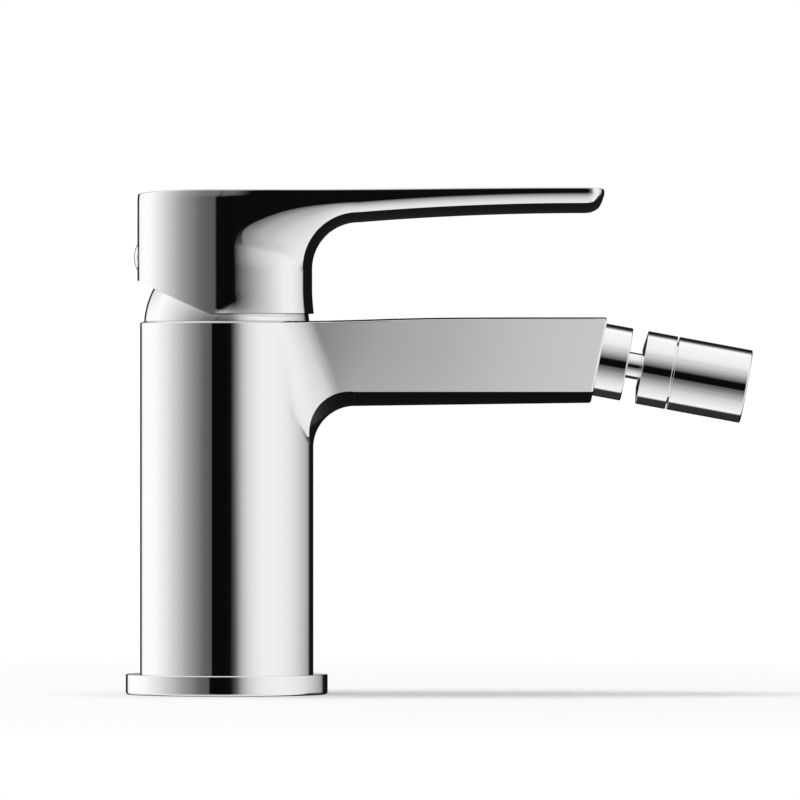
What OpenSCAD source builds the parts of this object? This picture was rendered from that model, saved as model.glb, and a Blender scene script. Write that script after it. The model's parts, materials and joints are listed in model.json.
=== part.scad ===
// Single-lever bidet mixer, drawn at full size in millimetres.
// Z is up from the deck, the spout points along +X and the column stands on the Z axis.

/* [Column] */
// Diameter of the column
column_d = 46; // [44:0.5:50]
// Height of the column's top face above the deck
column_top = 99; // [98:0.5:100]
// Wall of the column round the hose well
well_wall = 3; // [2:0.25:3.25]
// Height of the hose well inside the foot
well_h = 29; // [20:1:31]

/* [Base ring] */
// How far the base ring stands out from the column
ring_out = 3.8; // [3.4:0.1:6]
// Height of the base ring
ring_h = 5.4; // [4.5:0.1:7]
// Thickness of the lip that the column stands on
ring_lip = 2.6; // [2.2:0.1:3.2]
// Width of that lip under the column
ring_lip_w = 3.4; // [3.3:0.1:4.5]
// Rounding of the ring's upper edge
ring_round = 0.7; // [0.3:0.1:1.2]
// Radial play between ring and column
ring_play = 0.1; // [0.05:0.05:0.3]
// Thickness of the deck gasket
gasket_h = 1.6; // [1:0.1:1.8]
// Width of the deck gasket
gasket_w = 3.4; // [2.4:0.1:3.6]

/* [Spout] */
// Width of the spout's top at the column
spout_root_w = 30.4; // [28:0.2:33]
// Width of the spout's top at its tip
spout_tip_w = 32.8; // [30:0.2:36]
// Lean of the spout's sides at the column, in degrees
spout_root_lean = 15; // [10:0.5:18]
// Lean of the spout's sides at the tip, in degrees
spout_tip_lean = 22.5; // [16:0.5:24]
// Height of the spout's underside beside the column
spout_under_root = 76.5; // [75:0.1:78]
// Height of the spout's underside at the tip
spout_under_tip = 77.3; // [76:0.1:78]
// Rise of the spout's top from column to tip
spout_rise = 0.9; // [0.2:0.1:1]
// Radius of the corner under the spout
spout_corner_r = 10.6; // [8:0.2:13]
// Depth of the spout's rounded belly
spout_belly = 3.7; // [2.5:0.1:4.5]
// Edge radius along the spout's top
spout_edge = 0.8; // [0.4:0.1:1.5]
// Radius of the flare where the sides run into the column
flare_r = 26; // [20:1:40]
// Length of that flare
flare_run = 12; // [8:0.5:13]
// Radius of the waterway in the spout
waterway_r = 6.5; // [5:0.25:7.25]
// Radius of the passage that climbs to it from the cartridge
riser_r = 4.5; // [3:0.25:5]
// Distance of the passage's upper end from the column's axis
riser_end = 50; // [44:1:56]

/* [Outlet] */
// Downward tilt of the outlet, in degrees
outlet_tilt = 10.5; // [6:0.5:14]
// Distance of the outlet face from the column's axis
outlet_x = 98.75; // [90:0.25:104]
// Height of the outlet's centre in that face
outlet_z = 88.9; // [88:0.1:90]
// Diameter of the fixed outlet collar
collar_d = 19.5; // [19:0.1:20]
// Length of the fixed outlet collar
collar_len = 7.6; // [6:0.2:9]
// Radius of the collar's threaded spigot
spigot_r = 8.5; // [8:0.1:8.8]
// Length of that spigot
spigot_len = 11.5; // [9:0.5:12]
// Radius of the nipple thread inside the collar
nipple_r = 4.9; // [4.4:0.1:5.2]
// Radius of the ball's neck
neck_r = 3.5; // [3:0.1:3.6]
// Radius of the ball
ball_r = 6.5; // [6.2:0.1:6.8]
// Radius of the water bore through the ball
ball_bore_r = 2.2; // [1.8:0.1:2.5]
// Visible length of neck between collar and ball nut
neck_len = 3.45; // [3.2:0.05:4.5]
// Diameter of the swivelling nozzle
nozzle_d = 19.6; // [19.2:0.1:20.2]
// Length of the ball nut
ball_nut_len = 8.6; // [8.2:0.1:9.4]
// Chamfer at the back of the ball nut
ball_nut_chamfer = 1.7; // [1:0.1:2]
// Width of the seam between ball nut and nozzle shell
seam = 0.4; // [0.2:0.1:0.6]
// Length of the nozzle shell
nozzle_len = 19.8; // [17:0.2:24]
// Distance of the ball's centre inside the ball nut
ball_depth = 6; // [5.8:0.1:6.4]
// Thickness of the ball seats
seat_t = 0.95; // [0.8:0.05:1.1]
// Play on each side of a ball seat
ball_play = 0.06; // [0.03:0.01:0.1]
// Radius of the nut's opening round the neck
nut_mouth_r = 5.6; // [5.4:0.1:5.8]
// Bore of the chamber for the aerator
aerator_bore_r = 8.4; // [8:0.1:8.6]
// Radius of one hole in the aerator's screen
screen_hole_r = 0.5; // [0.35:0.05:0.55]

/* [Lever] */
// Width of the lever's head
head_w = 46.4; // [45.8:0.2:48]
// Distance of the head's rear wall behind the column's axis
head_rear = 23.7; // [23.3:0.1:24.5]
// Distance of the head's front wall before the column's axis
head_front = 22.75; // [22.6:0.05:23.4]
// Height of the head's lower edge above the column's top
lever_gap = 2; // [1.6:0.1:2.4]
// Height of the lever's top over the column's axis
lever_top = 134; // [132:0.5:137]
// Reach of the lever from the column's axis to its tip
lever_reach = 100.15; // [90:0.25:110]
// Width of the lever near its tip
lever_tip_w = 41.2; // [36:0.2:44]
// Length of the rounding of the tip seen from above
tip_round = 14.2; // [10:0.2:18]
// Thickness of the arm where it leaves the head
arm_t = 8.8; // [7.5:0.1:10]
// How much thinner the arm is at its tip
arm_taper = 1.9; // [1:0.1:2.5]
// Radius of the corner under the arm
arm_corner_r = 12.3; // [9:0.1:14]
// Depth of the arm's rounded belly
arm_belly = 2.6; // [1.8:0.1:3.2]
// How far the arm's side draws in towards its belly
arm_tuck = 1.4; // [0.8:0.1:2]
// Edge radius along the lever's top
lever_edge = 0.8; // [0.4:0.1:1.2]
// Length of the slanted cut under the back of the head
skirt_run = 19.7; // [16:0.1:21]
// Height of that cut at the rear wall
skirt_rise = 9.6; // [8:0.1:10.5]
// Radius of the room inside the head above the dome
head_room_r = 17; // [14:0.5:18]
// Thickness of the head's roof
roof_t = 6; // [4:0.5:8]
// Radius of the hub that grips the stem
hub_r = 8; // [7.2:0.2:9]
// Height of the index plug and the grub screw above the lever's pivot
index_h = 18.6; // [18.4:0.1:18.8]
// Diameter of the index plug's button
index_d = 7; // [6.6:0.1:8]
// How far the button stands out
index_dome = 0.9; // [0.5:0.1:1.4]

/* [Dome] */
// Height of the lever's pivot above the deck
pivot_z = 97.4; // [97:0.1:98]
// Radius of the dome
dome_r = 22; // [21.6:0.1:22.2]
// Wall of the dome
dome_t = 1.2; // [0.8:0.1:1.3]
// Height of the dome's rim above the pivot
dome_rim = 12.5; // [11.5:0.1:13]
// Play between the dome and the lever
dome_play = 0.3; // [0.2:0.05:0.35]

/* [Cartridge] */
// Height of the cartridge's seat
seat_z = 62; // [61:0.5:63]
// Diameter of the cartridge
cartridge_d = 35; // [34:0.5:35.5]
// Play of the cartridge in its bore
cartridge_play = 0.2; // [0.1:0.05:0.3]
// Height of the plug that closes the cartridge's lower end
base_h = 8; // [7:0.25:8.5]
// Thickness of the fixed ceramic disc
fixed_disc_t = 4; // [3.5:0.25:4]
// Thickness of the moving ceramic disc
moving_disc_t = 3; // [2.5:0.25:3]
// Radius of the moving disc
moving_disc_r = 11.8; // [11:0.1:12]
// Distance of the closed disc behind the axis
disc_rest = 2.7; // [2.3:0.1:3]
// Height of the carrier on the moving disc
carrier_h = 3.95; // [3.8:0.05:4]
// Distance of the hot and cold ports before the axis
inlet_x = 2.5; // [2:0.1:3]
// Distance of the hot and cold ports to each side
inlet_y = 6.5; // [6:0.1:7]
// Radius of the hot and cold ports
inlet_r = 2.4; // [2:0.1:2.6]
// Distance of the mixed-water port behind the axis
mixed_x = 5.8; // [5.4:0.1:6.4]
// Radius of the mixed-water port
mixed_r = 3; // [2.6:0.1:3.2]
// Radius of the turner's neck
turner_r = 10.95; // [10.5:0.05:11.2]
// Side of the square stem
stem_w = 8; // [7.6:0.1:8.2]
// Radius of the stem's pin
pin_r = 1.5; // [1.3:0.05:1.7]
// Length of the stem below the pivot, to the centre of its tip
stem_drop = 14.8; // [14.6:0.05:15]
// Radius of the stem's round tip
stem_tip_r = 2; // [1.8:0.05:2.1]
// Height of the stem above the pivot
stem_rise = 21.9; // [21.6:0.1:22.4]

/* [Connections] */
// Radius of a hose inlet, M10 x 1
hose_r = 4.5; // [4.3:0.05:4.7]
// Depth of a hose inlet
hose_depth = 12; // [9:0.5:13]
// Distance of a hose inlet to each side
hose_y = 7.5; // [7:0.1:8]
// Radius of the hole for the fixing stud, M8
stud_r = 3.4; // [3.2:0.05:3.6]
// Depth of the hole for the fixing stud
stud_depth = 14; // [10:0.5:16]
// Distance of the fixing stud behind the axis
stud_x = 9; // [8:0.25:11]

/* [Hidden] */
$fn = 96;

chrome = [0.80, 0.81, 0.83];
brass = [0.78, 0.62, 0.32];
rubber = [0.12, 0.12, 0.12];
plastic = [0.90, 0.90, 0.88];
ceramic = [0.96, 0.95, 0.92];
steel = [0.62, 0.63, 0.65];

// A cut runs this far past the face that it opens
over = 1;
// Play that keeps two sliding faces apart
slide_play = 0.05;

column_r = column_d / 2;
ring_r = column_r + ring_out;
well_r = column_r - well_wall;
housing_r = cartridge_d / 2;
well_top = ring_lip + well_h;

// Groove for the deck gasket in the ring's underside
ring_wall = 1.2;
gasket_play = 0.1;
gasket_in_r = ring_r - ring_wall - gasket_play - gasket_w;

// Heights inside the cartridge, from its seat upwards
pocket_h = 4;
plug_h = 3;
plug_play = 0.1;
base_top = seat_z + base_h;
disc_z = base_top + plug_h;
disc_play = 0.3;
moving_z = disc_z + fixed_disc_t + slide_play;
carrier_z = moving_z + moving_disc_t;
carrier_rim = 0.4;
carrier_play = 0.2;
tip_play = 0.3;
turner_z = carrier_z + carrier_h + tip_play;
window_h = 3;
port_land = 0.5;
disc_wall = 1.4;

// Cartridge bore in the column, and the passage that leaves it for the spout
flange_depth = 10;
flange_z = column_top - flange_depth;
flange_h = 2.5;
flange_play = 0.4;
guide_h = 3;
guide_r = housing_r + cartridge_play;
gallery_wall = 3.5;
gallery_r = column_r - gallery_wall;
top_wall = 3;
top_bore_r = column_r - top_wall;
flange_r = top_bore_r - flange_play;
thread_play = 0.1;
thread_r = top_bore_r - thread_play;
riser_inset = 1.5;
riser_x = housing_r - riser_inset;
riser_rise = 10.3;
riser_z = base_top + riser_rise;
waterway_drop = 0.9;
waterway_z = outlet_z - waterway_drop;
waterway_back = 3;
riser_slope = atan((waterway_z - riser_z) / (riser_end - riser_x));

// The cartridge's barrel, turner and nut
barrel_r = 15.3;
shelf_play = 0.2;
turner_rim = 2;
turner_flange_r = turner_r + turner_rim;
turner_flange_h = 2.2;
turner_rise = 3.4;
turner_top = pivot_z + turner_rise;
turner_play = 0.15;
pocket_play = 0.3;
slot_back = 6.2;
slot_front = 9;
pin_grip = 0.02;
pin_play = 0.06;
pin_inset = 0.8;
housing_neck_r = 14.2;
housing_neck_top = column_top + 0.6;
nut_z = flange_z + flange_h;
nut_thread_h = 5;
nut_play = 0.3;
nut_bore_r = housing_neck_r + nut_play;
nut_hex_r = 18.4;
nut_hex_rise = 1.6;
nut_top = column_top + nut_hex_rise;
peg_x = 9;
peg_y = 11;
peg_r = 1.9;
peg_h = 2.8;
peg_play = 0.1;
seal_w = 1.3;
seal_gap = 1;
oring_w = 1.3;
oring_h = 1.6;
oring_drop = 2.4;
oring_z = flange_z - oring_drop;

// The dome's foot and the spigot that holds it in the column
dome_foot_h = 1.2;
dome_spigot_h = 2.3;
dome_spigot_t = 1;

// Points and lengths along the outlet's own axis, from the outlet face outwards
socket_r = spigot_r + thread_play;
socket_room = 1.3;
socket_depth = spigot_len + socket_room;
nut_s = collar_len + neck_len;
ball_s = nut_s + ball_depth;
shell_s = nut_s + ball_nut_len + seam;
nozzle_r = nozzle_d / 2;
nozzle_end = shell_s + nozzle_len;
cavity_r = ball_r + seat_t + 2 * ball_play;
seat_in = ball_r + ball_play;
seat_out = seat_in + seat_t;
nipple_start = 1;
seat_rear_angles = [100, 115];
seat_front_angles = [50, 75];
shell_spigot_r = 8.2;
shell_spigot_len = 2.1;
shell_spigot_play = 0.3;
shell_web = 8.5;
throat_r = 4;
chamfer_len = 1.2;
collar_groove = 1;
collar_groove_s = -2.6;
collar_groove_w = 1.7;
oring_play = 0.03;

// The aerator: a washer, then an insert with a floor, a disc with jets and a screen
chamber_s = shell_s + shell_web;
washer_t = 1.4;
washer_in_r = 5;
aerator_s = chamber_s + washer_t;
aerator_inset = 0.8;
aerator_len = nozzle_end - aerator_inset - aerator_s;
insert_r = aerator_bore_r - plug_play;
insert_wall = 1.8;
insert_in_r = insert_r - insert_wall;
insert_floor = 1;
insert_hole_r = 5.4;
insert_play = 0.1;
flow_disc_t = 2;
jet_r = 1;
jet_x = 3.6;
jets = 6;
screen_t = 0.8;
screen_inset = 0.4;
screen_rows = 4;

// The lever's inside
cavity_lever_r = dome_r + dome_play;
head_bottom = column_top + lever_gap;
index_z = pivot_z + index_h;
socket_play = 0.08;
stem_room = 0.2;
hub_rise = 12.6;
hub_bottom = pivot_z + hub_rise;
hub_overlap = 0.5;
boss_r = 4.3;
boss_end = 10.3;
grub_r = 2.05;
grub_play = 0.05;
hex_r = 1.4;
hex_depth = 3;
button_lip = 0.3;
button_play = 0.02;
access_r = index_d / 2 - button_lip;
access_overlap = 2;
plug_len = 5;
roof_z = lever_top - roof_t;
room_rise = 4;
shank_drop = 4.4;
rod_r = 1.6;
skirt_start = 4;

function lerp(a, b, t) = a + (b - a) * t;
function clamp01(t) = max(0, min(1, t));
function smooth(t) = let (c = clamp01(t)) c * c * (3 - 2 * c);
// Half width of a rounded outline at distance u from its middle, as a share of its full half width
function round_share(u, n) = pow(max(0, 1 - pow(clamp01(u), n)), 1 / n);

// A closed skin over rings that all have the same number of points
function ring_faces(count, size) = concat(
    [[for (k = [0:size - 1]) k]],
    [for (r = [0:count - 2], k = [0:size - 1]) [r * size + k, (r + 1) * size + k, r * size + (k + 1) % size]],
    [for (r = [0:count - 2], k = [0:size - 1])
        [r * size + (k + 1) % size, (r + 1) * size + k, (r + 1) * size + (k + 1) % size]],
    [[for (k = [size - 1:-1:0]) (count - 1) * size + k]]
);
module skin(rings) {
    polyhedron(
        points = [for (ring = rings, point = ring) point],
        faces = ring_faces(len(rings), len(rings[0]))
    );
}

// Half a ring, given from its middle outwards as [x, y, z], closed with its mirror image
function mirrored(half) = concat(
    half,
    [for (k = [len(half) - 1:-1:1]) [half[k][0], -half[k][1], half[k][2]]]
);

/* The spout is a loft of upright rings that fan round the corner under it and run into the column */
spout_corner_x = column_r + spout_corner_r;
spout_corner_z = spout_under_root - spout_corner_r;
spout_inner_x = 10;
spout_end_x = outlet_x + 5;
flare_end = column_r + 5.5;
belly_power = 2.2;

function spout_along(x) = clamp01((x - column_r) / (outlet_x - column_r));
function spout_top(x) = column_top - 0.05 + spout_rise * spout_along(x);
function spout_under(x) = lerp(spout_under_root, spout_under_tip, spout_along(x));
function spout_flare(x) = pow(max(0, min(flare_run, flare_end - x)), 2) / (2 * flare_r);
function spout_half(x, z) =
    lerp(spout_root_w, spout_tip_w, spout_along(x)) / 2
    - (spout_top(x) - z) * tan(lerp(spout_root_lean, spout_tip_lean, spout_along(x)))
    + spout_flare(x);

// One ring from its lower middle point along a direction in the XZ plane
function spout_ring(low, dir, run, belly) = let (
    crease = low + dir * belly,
    crease_y = spout_half(crease[0], crease[1]),
    top = low + dir * run,
    top_y = spout_half(top[0], top[1]),
    side = run - belly - spout_edge
) mirrored(concat(
    [for (a = [0:0.25:0.75]) let (p = low + dir * belly * pow(a, belly_power)) [p[0], crease_y * a, p[1]]],
    [for (k = [0:3]) let (p = crease + dir * side * k / 3) [p[0], spout_half(p[0], p[1]), p[1]]],
    [let (p = top - dir * 0.3 * spout_edge) [p[0], top_y - 0.3 * spout_edge, p[1]]],
    [[top[0], top_y - spout_edge, top[1]]]
));
function fan_belly(a) = spout_belly
    * (a < 135 ? 1 + (a - 90) / 300 : 1.15 * pow(clamp01((182 - a) / 47), 0.6));
function fan_ring(a) = let (
    dir = [cos(a), sin(a)],
    reach_top = (column_top - 0.05 - spout_corner_z) / sin(a),
    reach_in = a > 91 ? (spout_corner_x - spout_inner_x) / -cos(a) : reach_top
) spout_ring(
    [spout_corner_x, spout_corner_z] + dir * spout_corner_r,
    dir, min(reach_top, reach_in) - spout_corner_r, fan_belly(a)
);

module spout_loft() {
    skin(concat(
        [for (a = [176:-7:99]) fan_ring(a)],
        [for (k = [0:10]) let (x = lerp(spout_corner_x, spout_end_x, k / 10))
            spout_ring([x, spout_under(x)], [0, 1], spout_top(x) - spout_under(x),
                lerp(spout_belly, spout_belly * 0.8, k / 10))]
    ));
}

// Children are drawn along the outlet's axis, with their own zero in the outlet face
module on_outlet(s = 0) {
    translate([outlet_x, 0, outlet_z]) rotate([0, 90 + outlet_tilt, 0]) translate([0, 0, s]) children();
}

module ring_of(r_out, r_in, h) {
    difference() {
        cylinder(r = r_out, h = h);
        translate([0, 0, -over]) cylinder(r = r_in, h = h + 2 * over);
    }
}

/* Fixed pieces, from the deck upwards */
module mixer_body() {
    color(chrome)
    difference() {
        union() {
            translate([0, 0, ring_lip]) cylinder(r = column_r, h = column_top - ring_lip);
            spout_loft();
        }
        // The spout ends square to the outlet's axis
        on_outlet() translate([-outlet_x, -outlet_x, 0]) cube([2 * outlet_x, 2 * outlet_x, outlet_x]);
        // Hose well with the two inlets and the fixing stud
        translate([0, 0, ring_lip - over]) cylinder(r = well_r, h = well_h + over);
        for (side = [-1, 1]) {
            translate([inlet_x, side * hose_y, well_top - over]) cylinder(r = hose_r, h = hose_depth + over);
            translate([inlet_x, side * inlet_y, well_top + hose_depth - over])
                cylinder(r = inlet_r, h = seat_z - well_top - hose_depth + 2 * over);
            translate([-peg_x, side * peg_y, seat_z - peg_h - peg_play])
                cylinder(r = peg_r + peg_play, h = peg_h + peg_play + over);
        }
        translate([-stud_x, 0, well_top - over]) cylinder(r = stud_r, h = stud_depth + over);
        // Cartridge bore: seat, gallery for mixed water, guide and nut thread
        translate([0, 0, seat_z]) cylinder(r = guide_r, h = column_top);
        translate([0, 0, seat_z + pocket_h]) cylinder(r = gallery_r, h = flange_z - guide_h - seat_z - pocket_h);
        translate([0, 0, flange_z]) cylinder(r = top_bore_r, h = column_top);
        // Waterway to the outlet and the collar's socket
        translate([riser_x, 0, riser_z]) rotate([0, 90 - riser_slope, 0])
            cylinder(r = riser_r, h = norm([riser_end - riser_x, waterway_z - riser_z]));
        translate([riser_end - waterway_back, 0, waterway_z]) rotate([0, 90, 0])
            cylinder(r = waterway_r, h = outlet_x - socket_depth / 2 - riser_end);
        on_outlet(-socket_depth) cylinder(r = socket_r, h = socket_depth + over);
    }
}

module base_ring() {
    color(chrome)
    rotate_extrude()
    difference() {
        union() {
            square([ring_r, ring_h - ring_round]);
            square([ring_r - ring_round, ring_h]);
            translate([ring_r - ring_round, ring_h - ring_round]) circle(r = ring_round, $fn = 32);
        }
        translate([-over, -over]) square([column_r - ring_lip_w + over, ring_h + 2 * over]);
        translate([-over, ring_lip]) square([column_r + ring_play + over, ring_h]);
        translate([gasket_in_r - gasket_play, -over]) square([gasket_w + 2 * gasket_play, gasket_h + over]);
    }
}

module deck_gasket() {
    color(rubber) ring_of(gasket_in_r + gasket_w, gasket_in_r, gasket_h - slide_play);
}

module cartridge_nut() {
    color(brass) translate([0, 0, nut_z])
    difference() {
        union() {
            cylinder(r = thread_r, h = nut_thread_h);
            cylinder(r = nut_hex_r, h = nut_top - nut_z, $fn = 6);
        }
        translate([0, 0, -over]) cylinder(r = nut_bore_r, h = nut_top);
    }
}

module dome_cap() {
    color(chrome)
    rotate_extrude()
    difference() {
        union() {
            intersection() {
                translate([0, pivot_z]) circle(r = dome_r, $fn = 128);
                translate([0, column_top]) square([dome_r, pivot_z + dome_rim - column_top]);
            }
            translate([0, column_top - dome_spigot_h]) square([thread_r, dome_spigot_h + dome_foot_h / 2]);
        }
        translate([0, column_top + dome_foot_h])
            intersection() {
                translate([0, pivot_z - column_top - dome_foot_h]) circle(r = dome_r - dome_t, $fn = 128);
                square([dome_r, dome_r]);
            }
        translate([-over, 0]) square([thread_r - dome_spigot_t + over, column_top + 2 * dome_foot_h]);
    }
}

/* The cartridge */
module cartridge_housing() {
    color(plastic)
    rotate_extrude()
    difference() {
        union() {
            translate([0, base_top]) square([housing_r, flange_z - base_top]);
            translate([0, flange_z]) square([flange_r, flange_h]);
            translate([0, flange_z]) square([housing_neck_r, housing_neck_top - flange_z]);
        }
        translate([-over, 0]) square([barrel_r + over, turner_z - shelf_play]);
        translate([-over, 0]) square([turner_flange_r + pocket_play + over, turner_z + turner_flange_h + pocket_play]);
        translate([-over, 0]) square([turner_r + turner_play + over, housing_neck_top + over]);
        translate([housing_r - oring_w, oring_z]) square([oring_w + over, oring_h]);
    }
}

module cartridge_oring() {
    color(rubber) translate([0, 0, oring_z]) ring_of(guide_r - slide_play, housing_r - oring_w, oring_h);
}

module at_ports() {
    for (side = [-1, 1]) translate([inlet_x, side * inlet_y, 0]) children();
}

module cartridge_base() {
    color(plastic)
    difference() {
        union() {
            translate([0, 0, seat_z]) cylinder(r = housing_r - plug_play, h = base_h);
            translate([0, 0, base_top]) cylinder(r = barrel_r - plug_play, h = plug_h);
            for (side = [-1, 1]) translate([-peg_x, side * peg_y, seat_z - peg_h])
                cylinder(r = peg_r, h = peg_h + over);
        }
        at_ports() {
            translate([0, 0, seat_z - over]) cylinder(r = inlet_r, h = disc_z - seat_z + 2 * over);
            translate([0, 0, seat_z]) ring_cut(-over, seal_w + over);
            translate([0, 0, disc_z]) ring_cut(-seal_w, seal_w + over);
        }
        translate([-mixed_x, 0, 0]) {
            // Mixed water turns out of a side window into the gallery
            translate([0, 0, seat_z + pocket_h]) cylinder(r = mixed_r, h = base_h);
            translate([-housing_r, -mixed_r, seat_z + pocket_h]) cube([housing_r, 2 * mixed_r, window_h]);
            translate([0, 0, disc_z]) difference() {
                translate([0, 0, -seal_w]) cylinder(r = mixed_r + seal_gap + seal_w, h = seal_w + over);
                translate([0, 0, -seal_w - over]) cylinder(r = mixed_r + seal_gap, h = seal_w + 3 * over);
            }
        }
    }
}

// Groove round a hot or cold port
module ring_cut(z, h) {
    translate([0, 0, z]) difference() {
        cylinder(r = inlet_r + seal_gap + seal_w, h = h);
        translate([0, 0, -over]) cylinder(r = inlet_r + seal_gap, h = h + 2 * over);
    }
}

module port_seals() {
    color(rubber) at_ports() translate([0, 0, seat_z])
        ring_of(inlet_r + seal_gap + seal_w, inlet_r + seal_gap, seal_w);
}

module disc_seals() {
    color(rubber) translate([0, 0, disc_z - seal_w]) {
        at_ports() ring_of(inlet_r + seal_gap + seal_w, inlet_r + seal_gap, seal_w);
        translate([-mixed_x, 0, 0]) ring_of(mixed_r + seal_gap + seal_w, mixed_r + seal_gap, seal_w);
    }
}

module fixed_disc() {
    color(ceramic)
    difference() {
        translate([0, 0, disc_z]) cylinder(r = barrel_r - disc_play, h = fixed_disc_t);
        at_ports() translate([0, 0, disc_z - over]) cylinder(r = inlet_r, h = fixed_disc_t + 2 * over);
        translate([-mixed_x, 0, disc_z - over]) cylinder(r = mixed_r, h = fixed_disc_t + 2 * over);
    }
}

module moving_disc() {
    pocket_front = inlet_x - inlet_r - port_land;
    reach = 2 * moving_disc_r;
    color(ceramic)
    difference() {
        translate([-disc_rest, 0, moving_z]) cylinder(r = moving_disc_r, h = moving_disc_t);
        // Chamber that joins the ports when the disc slides forward
        intersection() {
            translate([-disc_rest, 0, moving_z - over])
                cylinder(r = moving_disc_r - disc_wall, h = moving_disc_t / 2 + over);
            translate([pocket_front - reach, -reach, moving_z - over]) cube([reach, 2 * reach, moving_disc_t]);
        }
    }
}

module disc_carrier() {
    slot = stem_tip_r + carrier_play;
    color(plastic)
    difference() {
        translate([-disc_rest, 0, carrier_z]) cylinder(r = moving_disc_r + carrier_rim, h = carrier_h);
        translate([-slot, -stem_w / 2, pivot_z - stem_drop - stem_tip_r - tip_play])
            cube([2 * slot, stem_w, carrier_h + over]);
    }
}

module cartridge_turner() {
    slot_side = stem_w / 2 + turner_play;
    color(steel)
    difference() {
        translate([0, 0, turner_z]) union() {
            cylinder(r = turner_flange_r, h = turner_flange_h);
            cylinder(r = turner_r, h = turner_top - turner_z);
        }
        translate([-slot_back, -slot_side, turner_z - over])
            cube([slot_back + slot_front, 2 * slot_side, turner_top - turner_z + 2 * over]);
        pin_hole(pin_grip);
    }
}

// The stem tips on this pin, which the turner grips at both ends
module across_pivot(r, half) {
    translate([0, -half, pivot_z]) rotate([-90, 0, 0]) cylinder(r = r, h = 2 * half, $fn = 48);
}
module pin_hole(play) { across_pivot(pin_r + play, turner_flange_r + over); }
module stem_pin() { color(steel) across_pivot(pin_r, turner_r - pin_inset); }

/* The lever and what moves with it */
module lever_stem() {
    shank_z = pivot_z - shank_drop;
    color(steel)
    difference() {
        union() {
            translate([-stem_w / 2, -stem_w / 2, shank_z]) cube([stem_w, stem_w, stem_rise + shank_drop]);
            translate([0, 0, pivot_z - stem_drop]) cylinder(r = rod_r, h = stem_drop - shank_drop / 2, $fn = 48);
            translate([0, 0, pivot_z - stem_drop]) sphere(r = stem_tip_r, $fn = 48);
        }
        pin_hole(pin_play);
    }
}

// The lever's skin is one loft: rings stand across the arm, fan round the corner and lie flat in the head
head_half = head_w / 2;
arm_corner_x = head_front + arm_corner_r;
arm_corner_z = lever_top - arm_t - arm_corner_r;
lever_points = 14;
head_centre = -0.5;
rear_power = 2.2;
front_power = 3.1;
tip_power = 2.5;
lever_rise = 0.6;
rear_fall = 0.9;
tip_edge = 4.15;
tip_fall = 1.7;
tip_lift = 3.1;

function lever_top_z(x) =
    lever_top + (x > 0 ? lever_rise * x / lever_reach : -rear_fall * pow(-x / head_rear, 2.5))
    - tip_fall * pow(tip_share(x), 6);
function tip_share(x) = clamp01((x - lever_reach + tip_edge) / tip_edge);
function arm_share(x) = clamp01((x - arm_corner_x) / (lever_reach - tip_edge - arm_corner_x));
function arm_under_z(x) =
    lever_top - arm_t
    + (arm_taper + lever_rise) * (1 - pow(1 - arm_share(x), 2)) + tip_lift * pow(tip_share(x), 3);
function arm_half(x) =
    lerp(head_half, lever_tip_w / 2, clamp01(x / lever_reach))
    * round_share((x - lever_reach + tip_round) / tip_round, tip_power);
function rear_share(x) = round_share((head_centre - x) / (head_rear + head_centre), rear_power);

// Half width at distance p from the ring's lower middle point, across the arm and across the head
function arm_profile(p, run, half) = let (side = 0.4 * run)
    p < arm_belly ? (half - arm_tuck) * pow(p / arm_belly, 1 / 3) :
    half - arm_tuck * pow(clamp01(1 - (p - arm_belly) / side), 2);
function head_profile(p) = head_half * round_share(1 - p / head_front, front_power);

// One ring: share is 1 across the arm and 0 in the head, inset draws in the lower edge
function lever_ring(low, dir, run, share, inset = 0) = mirrored([
    for (k = [0:lever_points]) let (
        u = k / lever_points,
        p_head = run * (1 - cos(180 * u)) / 2,
        p_arm = k < 5 ? arm_belly * pow(k / 4, 3) * (k < 4 ? 1 : 0) + (k == 4 ? arm_belly : 0)
            : lerp(arm_belly, run, (k - 4) / (lever_points - 4)),
        p = lerp(p_head, p_arm, smooth(share)),
        point = low + dir * p,
        half = lerp(head_profile(p), arm_profile(p, run, arm_half(point[0])), smooth(share)) * rear_share(point[0]),
        trim = k == lever_points ? lever_edge : (k == 0 ? 0 : inset)
    ) [point[0] - (k == 0 ? inset : 0), k == 0 ? 0 : max(0.4, half - trim), point[1]]
]);
function lever_fan_ring(a) = let (
    dir = [cos(a), sin(a)],
    reach_top = (lever_top - 0.35 - arm_corner_z) / sin(a),
    reach_rear = (arm_corner_x + head_rear) / max(0.001, -cos(a)),
    rough = min(reach_top, reach_rear),
    end_x = arm_corner_x + rough * cos(a),
    reach = min((lever_top_z(end_x) - arm_corner_z) / sin(a), reach_rear)
) lever_ring([arm_corner_x, arm_corner_z] + dir * arm_corner_r, dir, reach - arm_corner_r, (180 - a) / 90);

module lever_loft() {
    skin(concat(
        [for (step = [[0, 0.4], [1.2, 0.12], [3, 0], [7, 0]]) let (z = head_bottom + step[0])
            lever_ring([head_front, z], [-1, 0], head_front + head_rear, 0, step[1])],
        [for (a = [178, 172, 167, 163, 160, 157, 153, 148, 142, 135, 127, 118, 109, 99]) lever_fan_ring(a)],
        [for (x = [0, 0.12, 0.26, 0.42, 0.58, 0.72, 0.82, 0.88, 0.92, 0.955, 0.98, 0.994])
            let (at = lerp(arm_corner_x, lever_reach, x))
            lever_ring([at, arm_under_z(at)], [0, 1], lever_top_z(at) - arm_under_z(at), 1)]
    ));
}

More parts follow.
